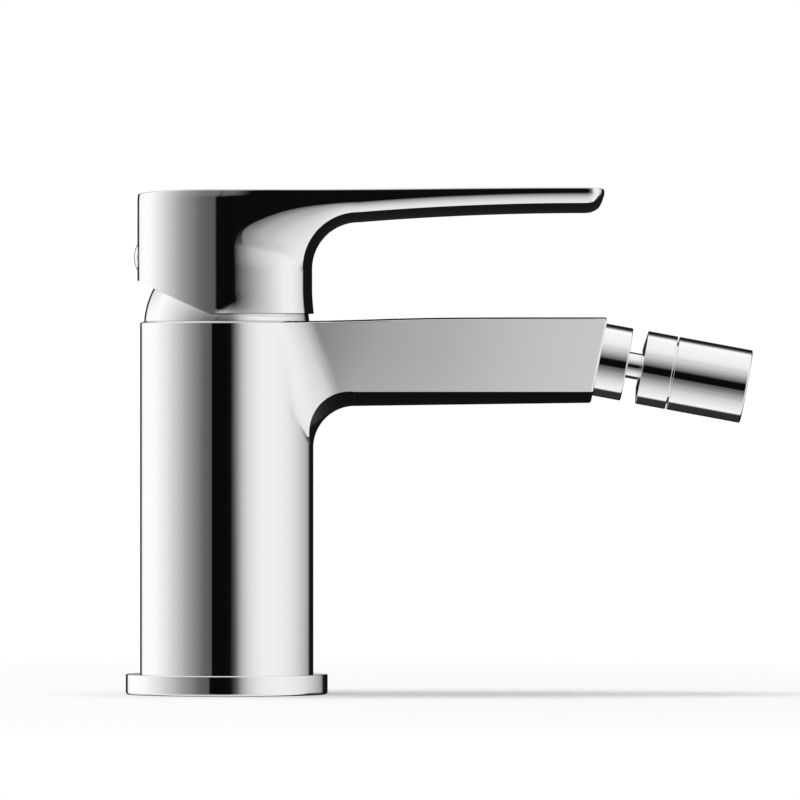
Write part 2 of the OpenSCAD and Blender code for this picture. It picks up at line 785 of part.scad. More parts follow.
// What is cut away under the back of the head, so that the lever can tip
module skirt_cut() {
    steps = 8;
    straight = 0.35 * skirt_run;
    past = head_half;
    function skirt_z(u) = head_bottom + straight * u + (skirt_rise - straight) * u * u;
    rotate([90, 0, 0])
    linear_extrude(height = 4 * head_half, center = true)
    polygon(concat(
        [for (k = [0:steps]) let (u = k / steps) [-skirt_start - skirt_run * u, skirt_z(u)]],
        [[-skirt_start - skirt_run - past, skirt_z(1) + past / 2],
         [-skirt_start - skirt_run - past, head_bottom - past], [-skirt_start, head_bottom - past]]
    ));
}

module lever_handle() {
    color(chrome)
    difference() {
        union() {
            difference() {
                lever_loft();
                skirt_cut();
                translate([0, 0, pivot_z]) sphere(r = cavity_lever_r, $fn = 128);
                translate([0, 0, pivot_z + room_rise]) cylinder(r = head_room_r, h = roof_z - pivot_z - room_rise);
            }
            // Hub and boss that grip the stem
            translate([0, 0, hub_bottom]) cylinder(r = hub_r, h = roof_z + hub_overlap - hub_bottom);
            translate([-boss_end, 0, index_z]) rotate([0, 90, 0]) cylinder(r = boss_r, h = boss_end);
        }
        translate([-stem_w / 2 - socket_play, -stem_w / 2 - socket_play, hub_bottom - over])
            cube([stem_w + 2 * socket_play, stem_w + 2 * socket_play, stem_rise + stem_room - hub_rise + over]);
        translate([-boss_end - over, 0, index_z]) rotate([0, 90, 0])
            cylinder(r = grub_r + grub_play, h = boss_end + over - stem_w / 2, $fn = 48);
        translate([-head_rear - over, 0, index_z]) rotate([0, 90, 0])
            cylinder(r = access_r, h = head_rear + over - head_room_r + access_overlap, $fn = 48);
    }
}

module grub_screw() {
    length = boss_end - stem_w / 2 - 2 * grub_play;
    color(steel) translate([-boss_end, 0, index_z]) rotate([0, 90, 0])
    difference() {
        cylinder(r = grub_r, h = length, $fn = 48);
        translate([0, 0, -over]) cylinder(r = hex_r, h = hex_depth + over, $fn = 6);
    }
}

module index_plug() {
    button_r = index_d / 2;
    cap_r = (button_r * button_r + index_dome * index_dome) / (2 * index_dome);
    color(chrome) translate([-head_rear, 0, index_z]) rotate([0, -90, 0]) {
        intersection() {
            translate([0, 0, index_dome - cap_r]) sphere(r = cap_r, $fn = 64);
            translate([0, 0, button_play]) cylinder(r = button_r, h = cap_r, $fn = 64);
        }
        translate([0, 0, -plug_len]) cylinder(r = access_r - plug_play, h = plug_len + index_dome / 5, $fn = 64);
    }
}

/* The outlet: a fixed collar, a ball on a neck, and the swivelling nozzle */
module outlet_collar() {
    color(chrome) on_outlet()
    difference() {
        union() {
            cylinder(r = collar_d / 2, h = collar_len);
            translate([0, 0, -spigot_len]) cylinder(r = spigot_r, h = spigot_len + over);
        }
        translate([0, 0, -spigot_len - over])
            cylinder(r = nipple_r + thread_play, h = spigot_len + collar_len + 2 * over);
        translate([0, 0, collar_groove_s]) ring_of(spigot_r + over, spigot_r - collar_groove, collar_groove_w);
    }
}

module collar_oring() {
    color(rubber) on_outlet(collar_groove_s)
        ring_of(socket_r - oring_play, spigot_r - collar_groove, collar_groove_w);
}

module ball_stem() {
    color(chrome) on_outlet()
    difference() {
        union() {
            translate([0, 0, nipple_start]) cylinder(r = nipple_r, h = collar_len - nipple_start);
            cylinder(r = neck_r, h = ball_s);
            translate([0, 0, ball_s]) sphere(r = ball_r, $fn = 96);
        }
        translate([0, 0, -over]) cylinder(r = ball_bore_r, h = ball_s + ball_r + 2 * over, $fn = 64);
    }
}

// A ring cut from a ball's shell between two angles from the outlet's axis
module ball_seat(angles) {
    reach = 2 * seat_out;
    on_outlet(ball_s)
    rotate_extrude()
    intersection() {
        difference() {
            circle(r = seat_out, $fn = 128);
            circle(r = seat_in, $fn = 128);
        }
        polygon(concat([[0, 0]], [for (a = angles) reach * [sin(a), cos(a)]]));
    }
}
module ball_seat_rear() { color(plastic) ball_seat(seat_rear_angles); }
module ball_seat_front() { color(plastic) ball_seat(seat_front_angles); }

module ball_nut() {
    color(chrome) on_outlet()
    difference() {
        union() {
            translate([0, 0, nut_s])
                cylinder(r1 = nozzle_r - ball_nut_chamfer, r2 = nozzle_r, h = chamfer_len);
            translate([0, 0, nut_s + chamfer_len]) cylinder(r = nozzle_r, h = ball_nut_len - chamfer_len);
        }
        translate([0, 0, ball_s]) sphere(r = cavity_r, $fn = 128);
        translate([0, 0, nut_s - over]) cylinder(r = nut_mouth_r, h = 3 * over);
        translate([0, 0, shell_s - shell_spigot_len - shell_spigot_play])
            cylinder(r = shell_spigot_r + thread_play, h = ball_nut_len);
    }
}

module nozzle_shell() {
    color(chrome) on_outlet()
    difference() {
        union() {
            translate([0, 0, shell_s - shell_spigot_len]) cylinder(r = shell_spigot_r, h = shell_spigot_len + over);
            translate([0, 0, shell_s]) cylinder(r = nozzle_r, h = nozzle_len);
        }
        translate([0, 0, ball_s]) sphere(r = cavity_r, $fn = 128);
        translate([0, 0, ball_s]) cylinder(r = throat_r, h = chamber_s - ball_s + over);
        translate([0, 0, chamber_s]) cylinder(r = aerator_bore_r, h = nozzle_len);
    }
}

module aerator_seal() {
    color(rubber) on_outlet(chamber_s) ring_of(insert_r, washer_in_r, washer_t);
}

module flow_disc() {
    color(plastic) on_outlet(aerator_s + insert_floor)
    difference() {
        cylinder(r = insert_in_r - insert_play, h = flow_disc_t);
        for (k = [0:jets - 1]) rotate(k * 360 / jets) translate([jet_x, 0, -over])
            cylinder(r = jet_r, h = flow_disc_t + 2 * over, $fn = 24);
    }
}

module aerator_housing() {
    color(plastic) on_outlet(aerator_s)
    difference() {
        cylinder(r = insert_r, h = aerator_len);
        translate([0, 0, -over]) cylinder(r = insert_hole_r, h = aerator_len);
        translate([0, 0, insert_floor]) cylinder(r = insert_in_r, h = aerator_len);
    }
}

module aerator_screen() {
    pitch = 2.6 * screen_hole_r;
    screen_r = insert_in_r - insert_play;
    color(steel) on_outlet(aerator_s + aerator_len - screen_inset - screen_t)
    difference() {
        cylinder(r = screen_r, h = screen_t);
        for (row = [-screen_rows:screen_rows], col = [-screen_rows:screen_rows]) let (
            x = pitch * (col + row / 2),
            y = pitch * row * sin(60)
        ) if (norm([x, y]) < screen_r - 2 * screen_hole_r)
            translate([x, y, -over]) cylinder(r = screen_hole_r, h = screen_t + 2 * over, $fn = 16);
    }
}

mixer_body();
base_ring();
deck_gasket();
cartridge_nut();
dome_cap();
cartridge_housing();
cartridge_oring();
cartridge_base();
port_seals();
disc_seals();
fixed_disc();
outlet_collar();
collar_oring();
ball_stem();
cartridge_turner();
stem_pin();
lever_handle();
lever_stem();
grub_screw();
index_plug();
moving_disc();
disc_carrier();
ball_seat_rear();
ball_seat_front();
ball_nut();
nozzle_shell();
aerator_seal();
flow_disc();
aerator_housing();
aerator_screen();
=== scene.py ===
"""Looks of a single-lever bidet mixer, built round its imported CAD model."""

import json
import logging
import math
from collections.abc import Callable, Sequence
from dataclasses import dataclass
from enum import Enum

import bmesh
import bpy
import numpy as np
from mathutils import Matrix, Vector, geometry


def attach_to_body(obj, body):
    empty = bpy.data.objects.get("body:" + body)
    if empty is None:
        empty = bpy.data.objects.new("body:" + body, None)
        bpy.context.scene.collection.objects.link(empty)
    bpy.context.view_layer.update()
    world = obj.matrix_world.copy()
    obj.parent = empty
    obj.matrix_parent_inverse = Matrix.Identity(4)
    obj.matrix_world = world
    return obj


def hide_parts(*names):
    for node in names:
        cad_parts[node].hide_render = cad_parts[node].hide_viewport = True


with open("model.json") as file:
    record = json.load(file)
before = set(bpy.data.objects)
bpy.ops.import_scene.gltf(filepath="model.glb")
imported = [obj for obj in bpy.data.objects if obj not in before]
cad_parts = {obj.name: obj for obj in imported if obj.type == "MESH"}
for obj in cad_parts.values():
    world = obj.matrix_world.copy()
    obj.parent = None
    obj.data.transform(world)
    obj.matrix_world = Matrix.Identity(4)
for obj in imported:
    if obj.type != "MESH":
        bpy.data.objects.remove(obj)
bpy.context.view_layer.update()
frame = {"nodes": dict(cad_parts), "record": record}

MM = 0.001
MIRROR = np.array([1.0, -1.0, 1.0])
DENSE_POINTS = 1200
log = logging.getLogger("bidet_mixer")


# Curves shared by the castings


def clamp01(value: np.ndarray | float) -> np.ndarray | float:
    """Limit a value to the range from 0 to 1."""
    return np.clip(value, 0.0, 1.0)


def smoothstep(start: float, end: float, value: np.ndarray | float) -> np.ndarray | float:
    """Rise softly from 0 at start to 1 at end."""
    t = clamp01((value - start) / (end - start))
    return t * t * (3 - 2 * t)


def smooth_max(a: np.ndarray, b: np.ndarray, width: float) -> np.ndarray:
    """Join two heights by their greater one, with a fillet where they are less than width apart."""
    near = np.maximum(width - np.abs(a - b), 0) / width
    return np.maximum(a, b) + near * near * width / 4


def soft_run(value: np.ndarray | float, start: float) -> np.ndarray | float:
    """Follow a value above 0, but leave 0 softly over about the length of start."""
    value = np.maximum(value, 0)
    return value * value / (value + start)


def arch(v: np.ndarray | float, bend: float = 1.5) -> np.ndarray | float:
    """Share of a belly's depth at a share of its half width; a larger bend runs straight sooner."""
    return (np.sqrt(1 + (bend * v) ** 2) - 1) / (math.sqrt(1 + bend**2) - 1)


def even_steps(path: np.ndarray, count: int) -> np.ndarray:
    """Spread points evenly along a path.

    Args:
        path: Dense points of the path, one per row.
        count: Number of points wanted, both ends included.

    Returns:
        The new points, one per row.
    """
    steps = np.linalg.norm(np.diff(path, axis=0), axis=1)
    run = np.concatenate([[0.0], np.cumsum(steps)])
    wanted = np.linspace(0, run[-1], count)
    return np.stack([np.interp(wanted, run, path[:, k]) for k in range(path.shape[1])], axis=1)


def side_of_ring(low: Sequence[float], way: Sequence[float], span: tuple[float, float],
                 half_width: Callable[[np.ndarray, np.ndarray], np.ndarray], count: int) -> np.ndarray:
    """Points up one side of a casting, in a plane across it.

    Args:
        low: Where the plane meets the belly's middle, as x and z.
        way: Direction of the plane, as x and z.
        span: Where along the plane the side begins and ends.
        half_width: Gives the casting's half width at places and heights.
        count: Number of points.

    Returns:
        Points as rows of x, y and z.
    """
    q = span[0] + (span[1] - span[0]) * (1 - np.cos(np.linspace(0, math.pi, DENSE_POINTS))) / 2
    x, z = low[0] + way[0] * q, low[1] + way[1] * q
    return even_steps(np.stack([x, half_width(x, z), z], axis=1), count)


def plan_normals(points: np.ndarray) -> np.ndarray:
    """Outward directions, seen from above, along half of a mirrored outline.

    Args:
        points: The half outline from one end on the XZ plane to the other, one point per row.

    Returns:
        One level direction per point.
    """
    closed = np.vstack([points[1] * MIRROR, points, points[-2] * MIRROR])
    step = closed[2:] - closed[:-2]
    normals = np.stack([-step[:, 1], step[:, 0], 0 * step[:, 0]], axis=1)
    return normals / np.maximum(np.linalg.norm(normals, axis=1), 1e-9)[:, None]


# Meshes


class SurfaceMesh:
    """Collects grids of points in millimetres and joins them into one smooth object."""

    def __init__(self, name: str) -> None:
        """Start an empty mesh.

        Args:
            name: Name of the piece.
        """
        self.name = name
        self.vertices: list[tuple[float, float, float]] = []
        self.faces: list[tuple[int, ...]] = []

    def grid(self, points: np.ndarray, closed: bool = False) -> None:
        """Add a sheet of quads.

        Args:
            points: Rows of points, shaped rows by columns by 3.
            closed: Whether the last column joins the first.
        """
        rows, columns, _ = points.shape
        start = len(self.vertices)
        self.vertices.extend(map(tuple, points.reshape(-1, 3)))
        for r in range(rows - 1):
            for c in range(columns if closed else columns - 1):
                d = (c + 1) % columns
                low, high = start + r * columns, start + (r + 1) * columns
                self.faces.append((low + c, low + d, high + d, high + c))

    def both_sides(self, half: np.ndarray) -> None:
        """Add a sheet and its mirror image across the XZ plane."""
        self.grid(half)
        self.grid(half * MIRROR)

    def patch(self, loops: Sequence[np.ndarray], keep: Callable[[Vector], bool]) -> None:
        """Fill the area between loops with triangles.

        Args:
            loops: Closed loops of points, one per row, seen from above.
            keep: Tells from a triangle's middle whether it stays.
        """
        flat, heights, edges = [], [], []
        for loop in loops:
            first = len(flat)
            flat.extend(Vector((p[0], p[1])) for p in loop)
            heights.extend(p[2] for p in loop)
            edges.extend((first + k, first + (k + 1) % len(loop)) for k in range(len(loop)))
        points, _, triangles, origins, _, _ = geometry.delaunay_2d_cdt(flat, edges, [], 1, 1e-6)
        start = len(self.vertices)
        for point, origin in zip(points, origins):
            self.vertices.append((point.x, point.y, heights[origin[0]] if origin else heights[0]))
        for triangle in triangles:
            middle = sum((points[k] for k in triangle), Vector((0, 0))) / len(triangle)
            if keep(middle):
                self.faces.append(tuple(start + k for k in triangle))

    def build(self, sharp: float = 35.0) -> bpy.types.Object:
        """Weld the sheets and make the object.

        Args:
            sharp: Edges that turn by more than this many degrees stay crisp.

        Returns:
            The new object, linked to the scene.
        """
        mesh = bpy.data.meshes.new(self.name)
        mesh.from_pydata([(x * MM, y * MM, z * MM) for x, y, z in self.vertices], [], self.faces)
        work = bmesh.new()
        work.from_mesh(mesh)
        bmesh.ops.remove_doubles(work, verts=work.verts, dist=0.002 * MM)
        bmesh.ops.dissolve_degenerate(work, edges=work.edges, dist=0.001 * MM)
        loose = [edge for edge in work.edges if not edge.link_faces]
        bmesh.ops.delete(work, geom=loose, context="EDGES")
        bmesh.ops.recalc_face_normals(work, faces=work.faces)
        open_edges = sum(1 for edge in work.edges if not edge.is_manifold)
        work.to_mesh(mesh)
        work.free()
        mesh.shade_smooth()
        mesh.set_sharp_from_angle(angle=math.radians(sharp))
        piece = bpy.data.objects.new(self.name, mesh)
        bpy.context.scene.collection.objects.link(piece)
        log.info("%s: %d faces, %d open edges", self.name, len(mesh.polygons), open_edges)
        return piece


@dataclass(frozen=True)
class Corner:
    """A corner of a turned piece's outline: its radius, its height and its rounding, in millimetres."""

    r: float
    s: float
    round: float = 0.0


def rounded_outline(corners: Sequence[Corner], steps: int = 6, guard: float = 0.12) -> np.ndarray:
    """Round the corners of a closed outline.

    Args:
        corners: The outline's corners in order.
        steps: Number of steps round each rounded corner.
        guard: Length of the straight kept flat beside each rounding.

    Returns:
        Points of the outline as rows of radius and height.
    """
    out = []
    for k, corner in enumerate(corners):
        here = np.array([corner.r, corner.s])
        if corner.round <= 0:
            out.append(here)
            continue
        before, after = corners[k - 1], corners[(k + 1) % len(corners)]
        back = np.array([before.r, before.s]) - here
        ahead = np.array([after.r, after.s]) - here
        room_back, room_ahead = float(np.linalg.norm(back)), float(np.linalg.norm(ahead))
        back, ahead = back / room_back, ahead / room_ahead
        half = math.acos(float(np.clip(back @ ahead, -1, 1))) / 2
        cut = corner.round / math.tan(half)
        centre = here + (back + ahead) / np.linalg.norm(back + ahead) * corner.round / math.sin(half)
        begin, end = here + back * cut - centre, here + ahead * cut - centre
        first = math.atan2(begin[1], begin[0])
        turn = (math.atan2(end[1], end[0]) - first + math.pi) % (2 * math.pi) - math.pi
        out.append(here + back * (cut + min(guard, (room_back - cut) * 0.2)))
        for step in range(steps + 1):
            a = first + turn * step / steps
            out.append(centre + corner.round * np.array([math.cos(a), math.sin(a)]))
        out.append(here + ahead * (cut + min(guard, (room_ahead - cut) * 0.2)))
    return np.array(out)


def arc_outline(centre_s: float, radius: float, start: float, end: float, steps: int = 40) -> list[Corner]:
    """Corners along an arc round a point on the axis, between two angles from the axis in degrees."""
    return [
        Corner(radius * math.sin(math.radians(a)), centre_s + radius * math.cos(math.radians(a)))
        for a in np.linspace(start, end, steps)
    ]


class Turned:
    """Makes turned pieces round one axis."""

    segments = 224

    def __init__(self, origin: Vector = Vector((0, 0, 0)), tilt: float = 0.0) -> None:
        """Set the axis.

        Args:
            origin: The axis's zero point, in millimetres.
            tilt: How far the axis leans from +Z towards +X, in degrees.
        """
        self.place = Matrix.Translation(origin) @ Matrix.Rotation(math.radians(tilt), 4, "Y")

    def make(self, name: str, corners: Sequence[Corner], sharp: float = 35.0) -> bpy.types.Object:
        """Turn a closed outline round the axis.

        Args:
            name: Name of the piece.
            corners: The outline's corners in order.
            sharp: Edges that turn by more than this many degrees stay crisp.

        Returns:
            The piece.
        """
        outline = rounded_outline(corners)
        outline = np.vstack([outline, outline[:1]])
        turn = np.linspace(0, 2 * math.pi, self.segments, endpoint=False)
        rows = np.zeros((len(outline), self.segments, 3))
        rows[:, :, 0] = outline[:, :1] * np.cos(turn)
        rows[:, :, 1] = outline[:, :1] * np.sin(turn)
        rows[:, :, 2] = outline[:, 1:]
        turned = SurfaceMesh(name)
        matrix = np.array(self.place)
        turned.grid(rows @ matrix[:3, :3].T + matrix[:3, 3], closed=True)
        return turned.build(sharp)


# Materials


class Value:
    """A shader socket that can be used in Python expressions."""

    def __init__(self, tree: "ShaderTree", socket: bpy.types.NodeSocket) -> None:
        """Wrap a socket of a tree."""
        self.tree = tree
        self.socket = socket

    def _math(self, operation: str, *terms: "Value | float") -> "Value":
        """Add a Math node over some terms."""
        return self.tree.node("ShaderNodeMath", {"operation": operation}, dict(enumerate(terms)))

    def __add__(self, other: "Value | float") -> "Value":
        """Add."""
        return self._math("ADD", self, other)

    __radd__ = __add__

    def __mul__(self, other: "Value | float") -> "Value":
        """Multiply."""
        return self._math("MULTIPLY", self, other)

    __rmul__ = __mul__

    def __sub__(self, other: "Value | float") -> "Value":
        """Subtract."""
        return self._math("SUBTRACT", self, other)

    def __rsub__(self, other: float) -> "Value":
        """Subtract from a number."""
        return self._math("SUBTRACT", other, self)

    def __truediv__(self, other: "Value | float") -> "Value":
        """Divide."""
        return self._math("DIVIDE", self, other)

    def __pow__(self, other: "Value | float") -> "Value":
        """Raise to a power."""
        return self._math("POWER", self, other)

    def above(self, limit: float) -> "Value":
        """1 where the value is above a limit, else 0."""
        return self._math("GREATER_THAN", self, limit)

    def clamped(self) -> "Value":
        """Limit the value to the range from 0 to 1."""
        held = self._math("ADD", self, 0.0)
        held.socket.node.use_clamp = True
        return held

    def arccos(self) -> "Value":
        """Angle in radians that has this cosine."""
        return self._math("ARCCOSINE", self)


class ShaderTree:
    """Builds the nodes of one material or of the world."""

    def __init__(self, tree: bpy.types.NodeTree) -> None:
        """Clear a node tree and take it over."""
        tree.nodes.clear()
        self.tree = tree

    def node(self, kind: str, settings: dict | None = None, inputs: dict | None = None,
             output: str | int = 0) -> Value:
        """Add a node.

        Args:
            kind: Blender's type name.
            settings: Properties set first; "stops" fills a colour ramp with places and greys.
            inputs: Values or links by socket name or number.
            output: The output that the returned value wraps.

        Returns:
            The chosen output.
        """
        made = self.tree.nodes.new(kind)
        for key, setting in (settings or {}).items():
            if key == "stops":
                self._fill_ramp(made.color_ramp, setting)
            else:
                setattr(made, key, setting)
        for key, given in (inputs or {}).items():
            if isinstance(given, Value):
                self.tree.links.new(given.socket, made.inputs[key])
            else:
                made.inputs[key].default_value = given
        return Value(self, made.outputs[output]) if len(made.outputs) else Value(self, None)

    @staticmethod
    def _fill_ramp(ramp: bpy.types.ColorRamp, stops: Sequence[tuple[float, float]]) -> None:
        """Give a colour ramp its stops.

        Args:
            ramp: The ramp.
            stops: Each stop's place and grey, in order.
        """
        ramp.interpolation = "LINEAR"
        while len(ramp.elements) < len(stops):
            ramp.elements.new(1.0)
        for element, (place, grey) in zip(ramp.elements, stops):
            element.position = place
            element.color = (grey, grey, grey, 1.0)


@dataclass(frozen=True)
class Finish:
    """A finish: a colour with a faint unevenness of gloss and surface."""

    name: str
    colour: tuple[float, float, float]
    metallic: float
    roughness: float
    gloss_spread: float
    grain: float
    bump: float = 0.0

    def material(self) -> bpy.types.Material:
        """Build the finish's material.

        Returns:
            The material.
        """
        made = bpy.data.materials.new(self.name)
        made.use_nodes = True
        tree = ShaderTree(made.node_tree)
        place = tree.node("ShaderNodeTexCoord", output="Object")
        noise = tree.node("ShaderNodeTexNoise", inputs={"Vector": place, "Scale": self.grain, "Detail": 3.0})
        shader = {
            "Base Color": (*self.colour, 1.0),
            "Metallic": self.metallic,
            "Roughness": (noise - 0.5) * self.gloss_spread + self.roughness,
        }
        if self.bump:
            shader["Normal"] = tree.node(
                "ShaderNodeBump", inputs={"Height": noise, "Strength": self.bump, "Distance": 0.1 * MM}
            )
        surface = tree.node("ShaderNodeBsdfPrincipled", inputs=shader)
        tree.node("ShaderNodeOutputMaterial", inputs={"Surface": surface})
        return made


class Slot(Enum):
    """The record's material slots with the finish of each."""

    chrome = Finish("polished_chrome", (0.83, 0.835, 0.845), 1.0, 0.035, 0.01, 60.0)
    brass = Finish("turned_brass", (0.74, 0.56, 0.27), 1.0, 0.28, 0.12, 300.0, 0.1)
    rubber = Finish("black_rubber", (0.018, 0.018, 0.018), 0.0, 0.62, 0.2, 500.0, 0.15)
    moulded_plastic = Finish("moulded_plastic", (0.80, 0.80, 0.77), 0.0, 0.42, 0.1, 350.0, 0.08)
    ceramic = Finish("lapped_ceramic", (0.88, 0.87, 0.83), 0.0, 0.16, 0.05, 200.0)
    steel = Finish("plain_steel", (0.56, 0.57, 0.58), 1.0, 0.26, 0.12, 400.0, 0.05)


class Wardrobe:
    """Keeps one material per slot and puts it on pieces."""

    def __init__(self) -> None:
        """Build every finish once."""
        self.materials = {slot: slot.value.material() for slot in Slot}

    def dress(self, piece: bpy.types.Object, slot: Slot) -> None:
        """Put a slot's material on the whole of a piece."""
        piece.data.materials.clear()
        piece.data.materials.append(self.materials[slot])

    def dress_cad_nodes(self) -> None:
        """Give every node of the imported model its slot's finish."""
        for part in frame["record"]["subparts"]:
            node = frame["nodes"][part["node"]]
            for place in node.material_slots:
                place.material = self.materials[Slot[part["material_slot"]]]


# The mixer


@dataclass
class Outlet:
    """The outlet's axis and what is turned round it."""

    wardrobe: Wardrobe
    tilt: float = 10.5
    face: tuple[float, float, float] = (98.75, 0.0, 88.9)
    collar_r: float = 9.75
    collar_len: float = 7.6
    spigot_r: float = 8.5
    spigot_len: float = 11.5
    neck_r: float = 3.5
    ball_r: float = 6.5
    bore_r: float = 2.2
    nut_start: float = 11.05
    nut_len: float = 8.6
    seam: float = 0.4
    nozzle_r: float = 9.8
    nozzle_len: float = 19.8
    ball_depth: float = 6.0
    cavity_r: float = 7.57
    mouth_r: float = 5.6
    thread_r: float = 8.2
    thread_len: float = 2.4
    thread_play: float = 0.1
    spigot_depth: float = 2.1
    chamber_r: float = 8.4
    chamber_depth: float = 8.5
    throat_r: float = 4.0
    nipple_r: float = 5.0

    def __post_init__(self) -> None:
        """Work out the places along the axis."""
        self.turned = Turned(Vector(self.face), 90 + self.tilt)
        self.ball_s = self.nut_start + self.ball_depth
        self.shell_s = self.nut_start + self.nut_len + self.seam
        self.end_s = self.shell_s + self.nozzle_len

    def collar(self) -> bpy.types.Object:
        """Make the fixed collar with its spigot.

        Returns:
            The piece.
        """
        return self.turned.make("collar", [
            Corner(self.nipple_r, -self.spigot_len), Corner(self.spigot_r, -self.spigot_len, 0.4),
            Corner(self.spigot_r, 0.02), Corner(self.collar_r, 0.02, 0.15),
            Corner(self.collar_r, self.collar_len, 0.35), Corner(self.nipple_r, self.collar_len, 0.2),
        ])

    def ball(self) -> bpy.types.Object:
        """Make the nipple, neck and ball in one piece.

        Returns:
            The piece.
        """
        neck_angle = 180 - math.degrees(math.asin(self.neck_r / self.ball_r))
        bore_angle = math.degrees(math.asin(self.bore_r / self.ball_r))
        nipple_r, nipple_end = self.nipple_r - self.thread_play, self.collar_len - 0.05
        return self.turned.make("ball_neck", [
            Corner(self.bore_r, 0), Corner(self.neck_r, 0), Corner(self.neck_r, 1),
            Corner(nipple_r, 1), Corner(nipple_r, nipple_end, 0.3), Corner(self.neck_r, nipple_end, 0.3),
            *arc_outline(self.ball_s, self.ball_r, neck_angle, bore_angle),
        ])

    def nut(self) -> bpy.types.Object:
        """Make the nut round the ball.

        Returns:
            The piece.
        """
        end = self.nut_start + self.nut_len
        mouth = 180 - math.degrees(math.asin(self.mouth_r / self.cavity_r))
        thread_s, thread_r = end - self.thread_len, self.thread_r + self.thread_play
        inner = math.degrees(math.acos((thread_s - self.ball_s) / self.cavity_r))
        return self.turned.make("ball_joint_nut", [
            Corner(self.mouth_r, self.nut_start, 0.2), Corner(self.nozzle_r, self.nut_start + 0.6, 0.2),
            Corner(self.nozzle_r, end, 0.2),
            Corner(thread_r, end), Corner(thread_r, thread_s),
            *arc_outline(self.ball_s, self.cavity_r, inner, mouth),
        ])

    def shell(self) -> bpy.types.Object:
        """Make the nozzle's shell.

        Returns:
            The piece.
        """
        spigot_s = self.shell_s - self.spigot_depth
        chamber_s = self.shell_s + self.chamber_depth
        first = math.degrees(math.acos((spigot_s - self.ball_s) / self.cavity_r))
        last = math.degrees(math.asin(self.throat_r / self.cavity_r))
        return self.turned.make("nozzle_body", [
            *arc_outline(self.ball_s, self.cavity_r, last, first),
            Corner(self.thread_r, spigot_s), Corner(self.thread_r, self.shell_s),
            Corner(self.nozzle_r, self.shell_s, 0.2), Corner(self.nozzle_r, self.end_s, 0.45),
            Corner(self.chamber_r, self.end_s, 0.3), Corner(self.chamber_r, chamber_s),
            Corner(self.throat_r, chamber_s),
        ])

    def build(self) -> list[bpy.types.Object]:
        """Build, dress and attach the outlet's pieces.

        Returns:
            The pieces.
        """
        pieces = []
        for make, node, body in (
            (self.collar, "outlet_collar", "body"), (self.ball, "ball_stem", "body"),
            (self.nut, "ball_nut", "nozzle"), (self.shell, "nozzle_shell", "nozzle"),
        ):
            piece = make()
            attach(piece, node, body, Slot.chrome, self.wardrobe)
            pieces.append(piece)
        return pieces


def attach(piece: bpy.types.Object, node: str, body: str, slot: Slot, wardrobe: Wardrobe) -> None:
    """Dress a piece, let it ride on a body and stand for a node.

    Args:
        piece: The piece.
        node: The CAD node that it replaces.
        body: The body that it moves with.
        slot: Its material slot.
        wardrobe: The finished materials.
    """
    wardrobe.dress(piece, slot)
    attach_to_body(piece, body)
    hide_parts(node)


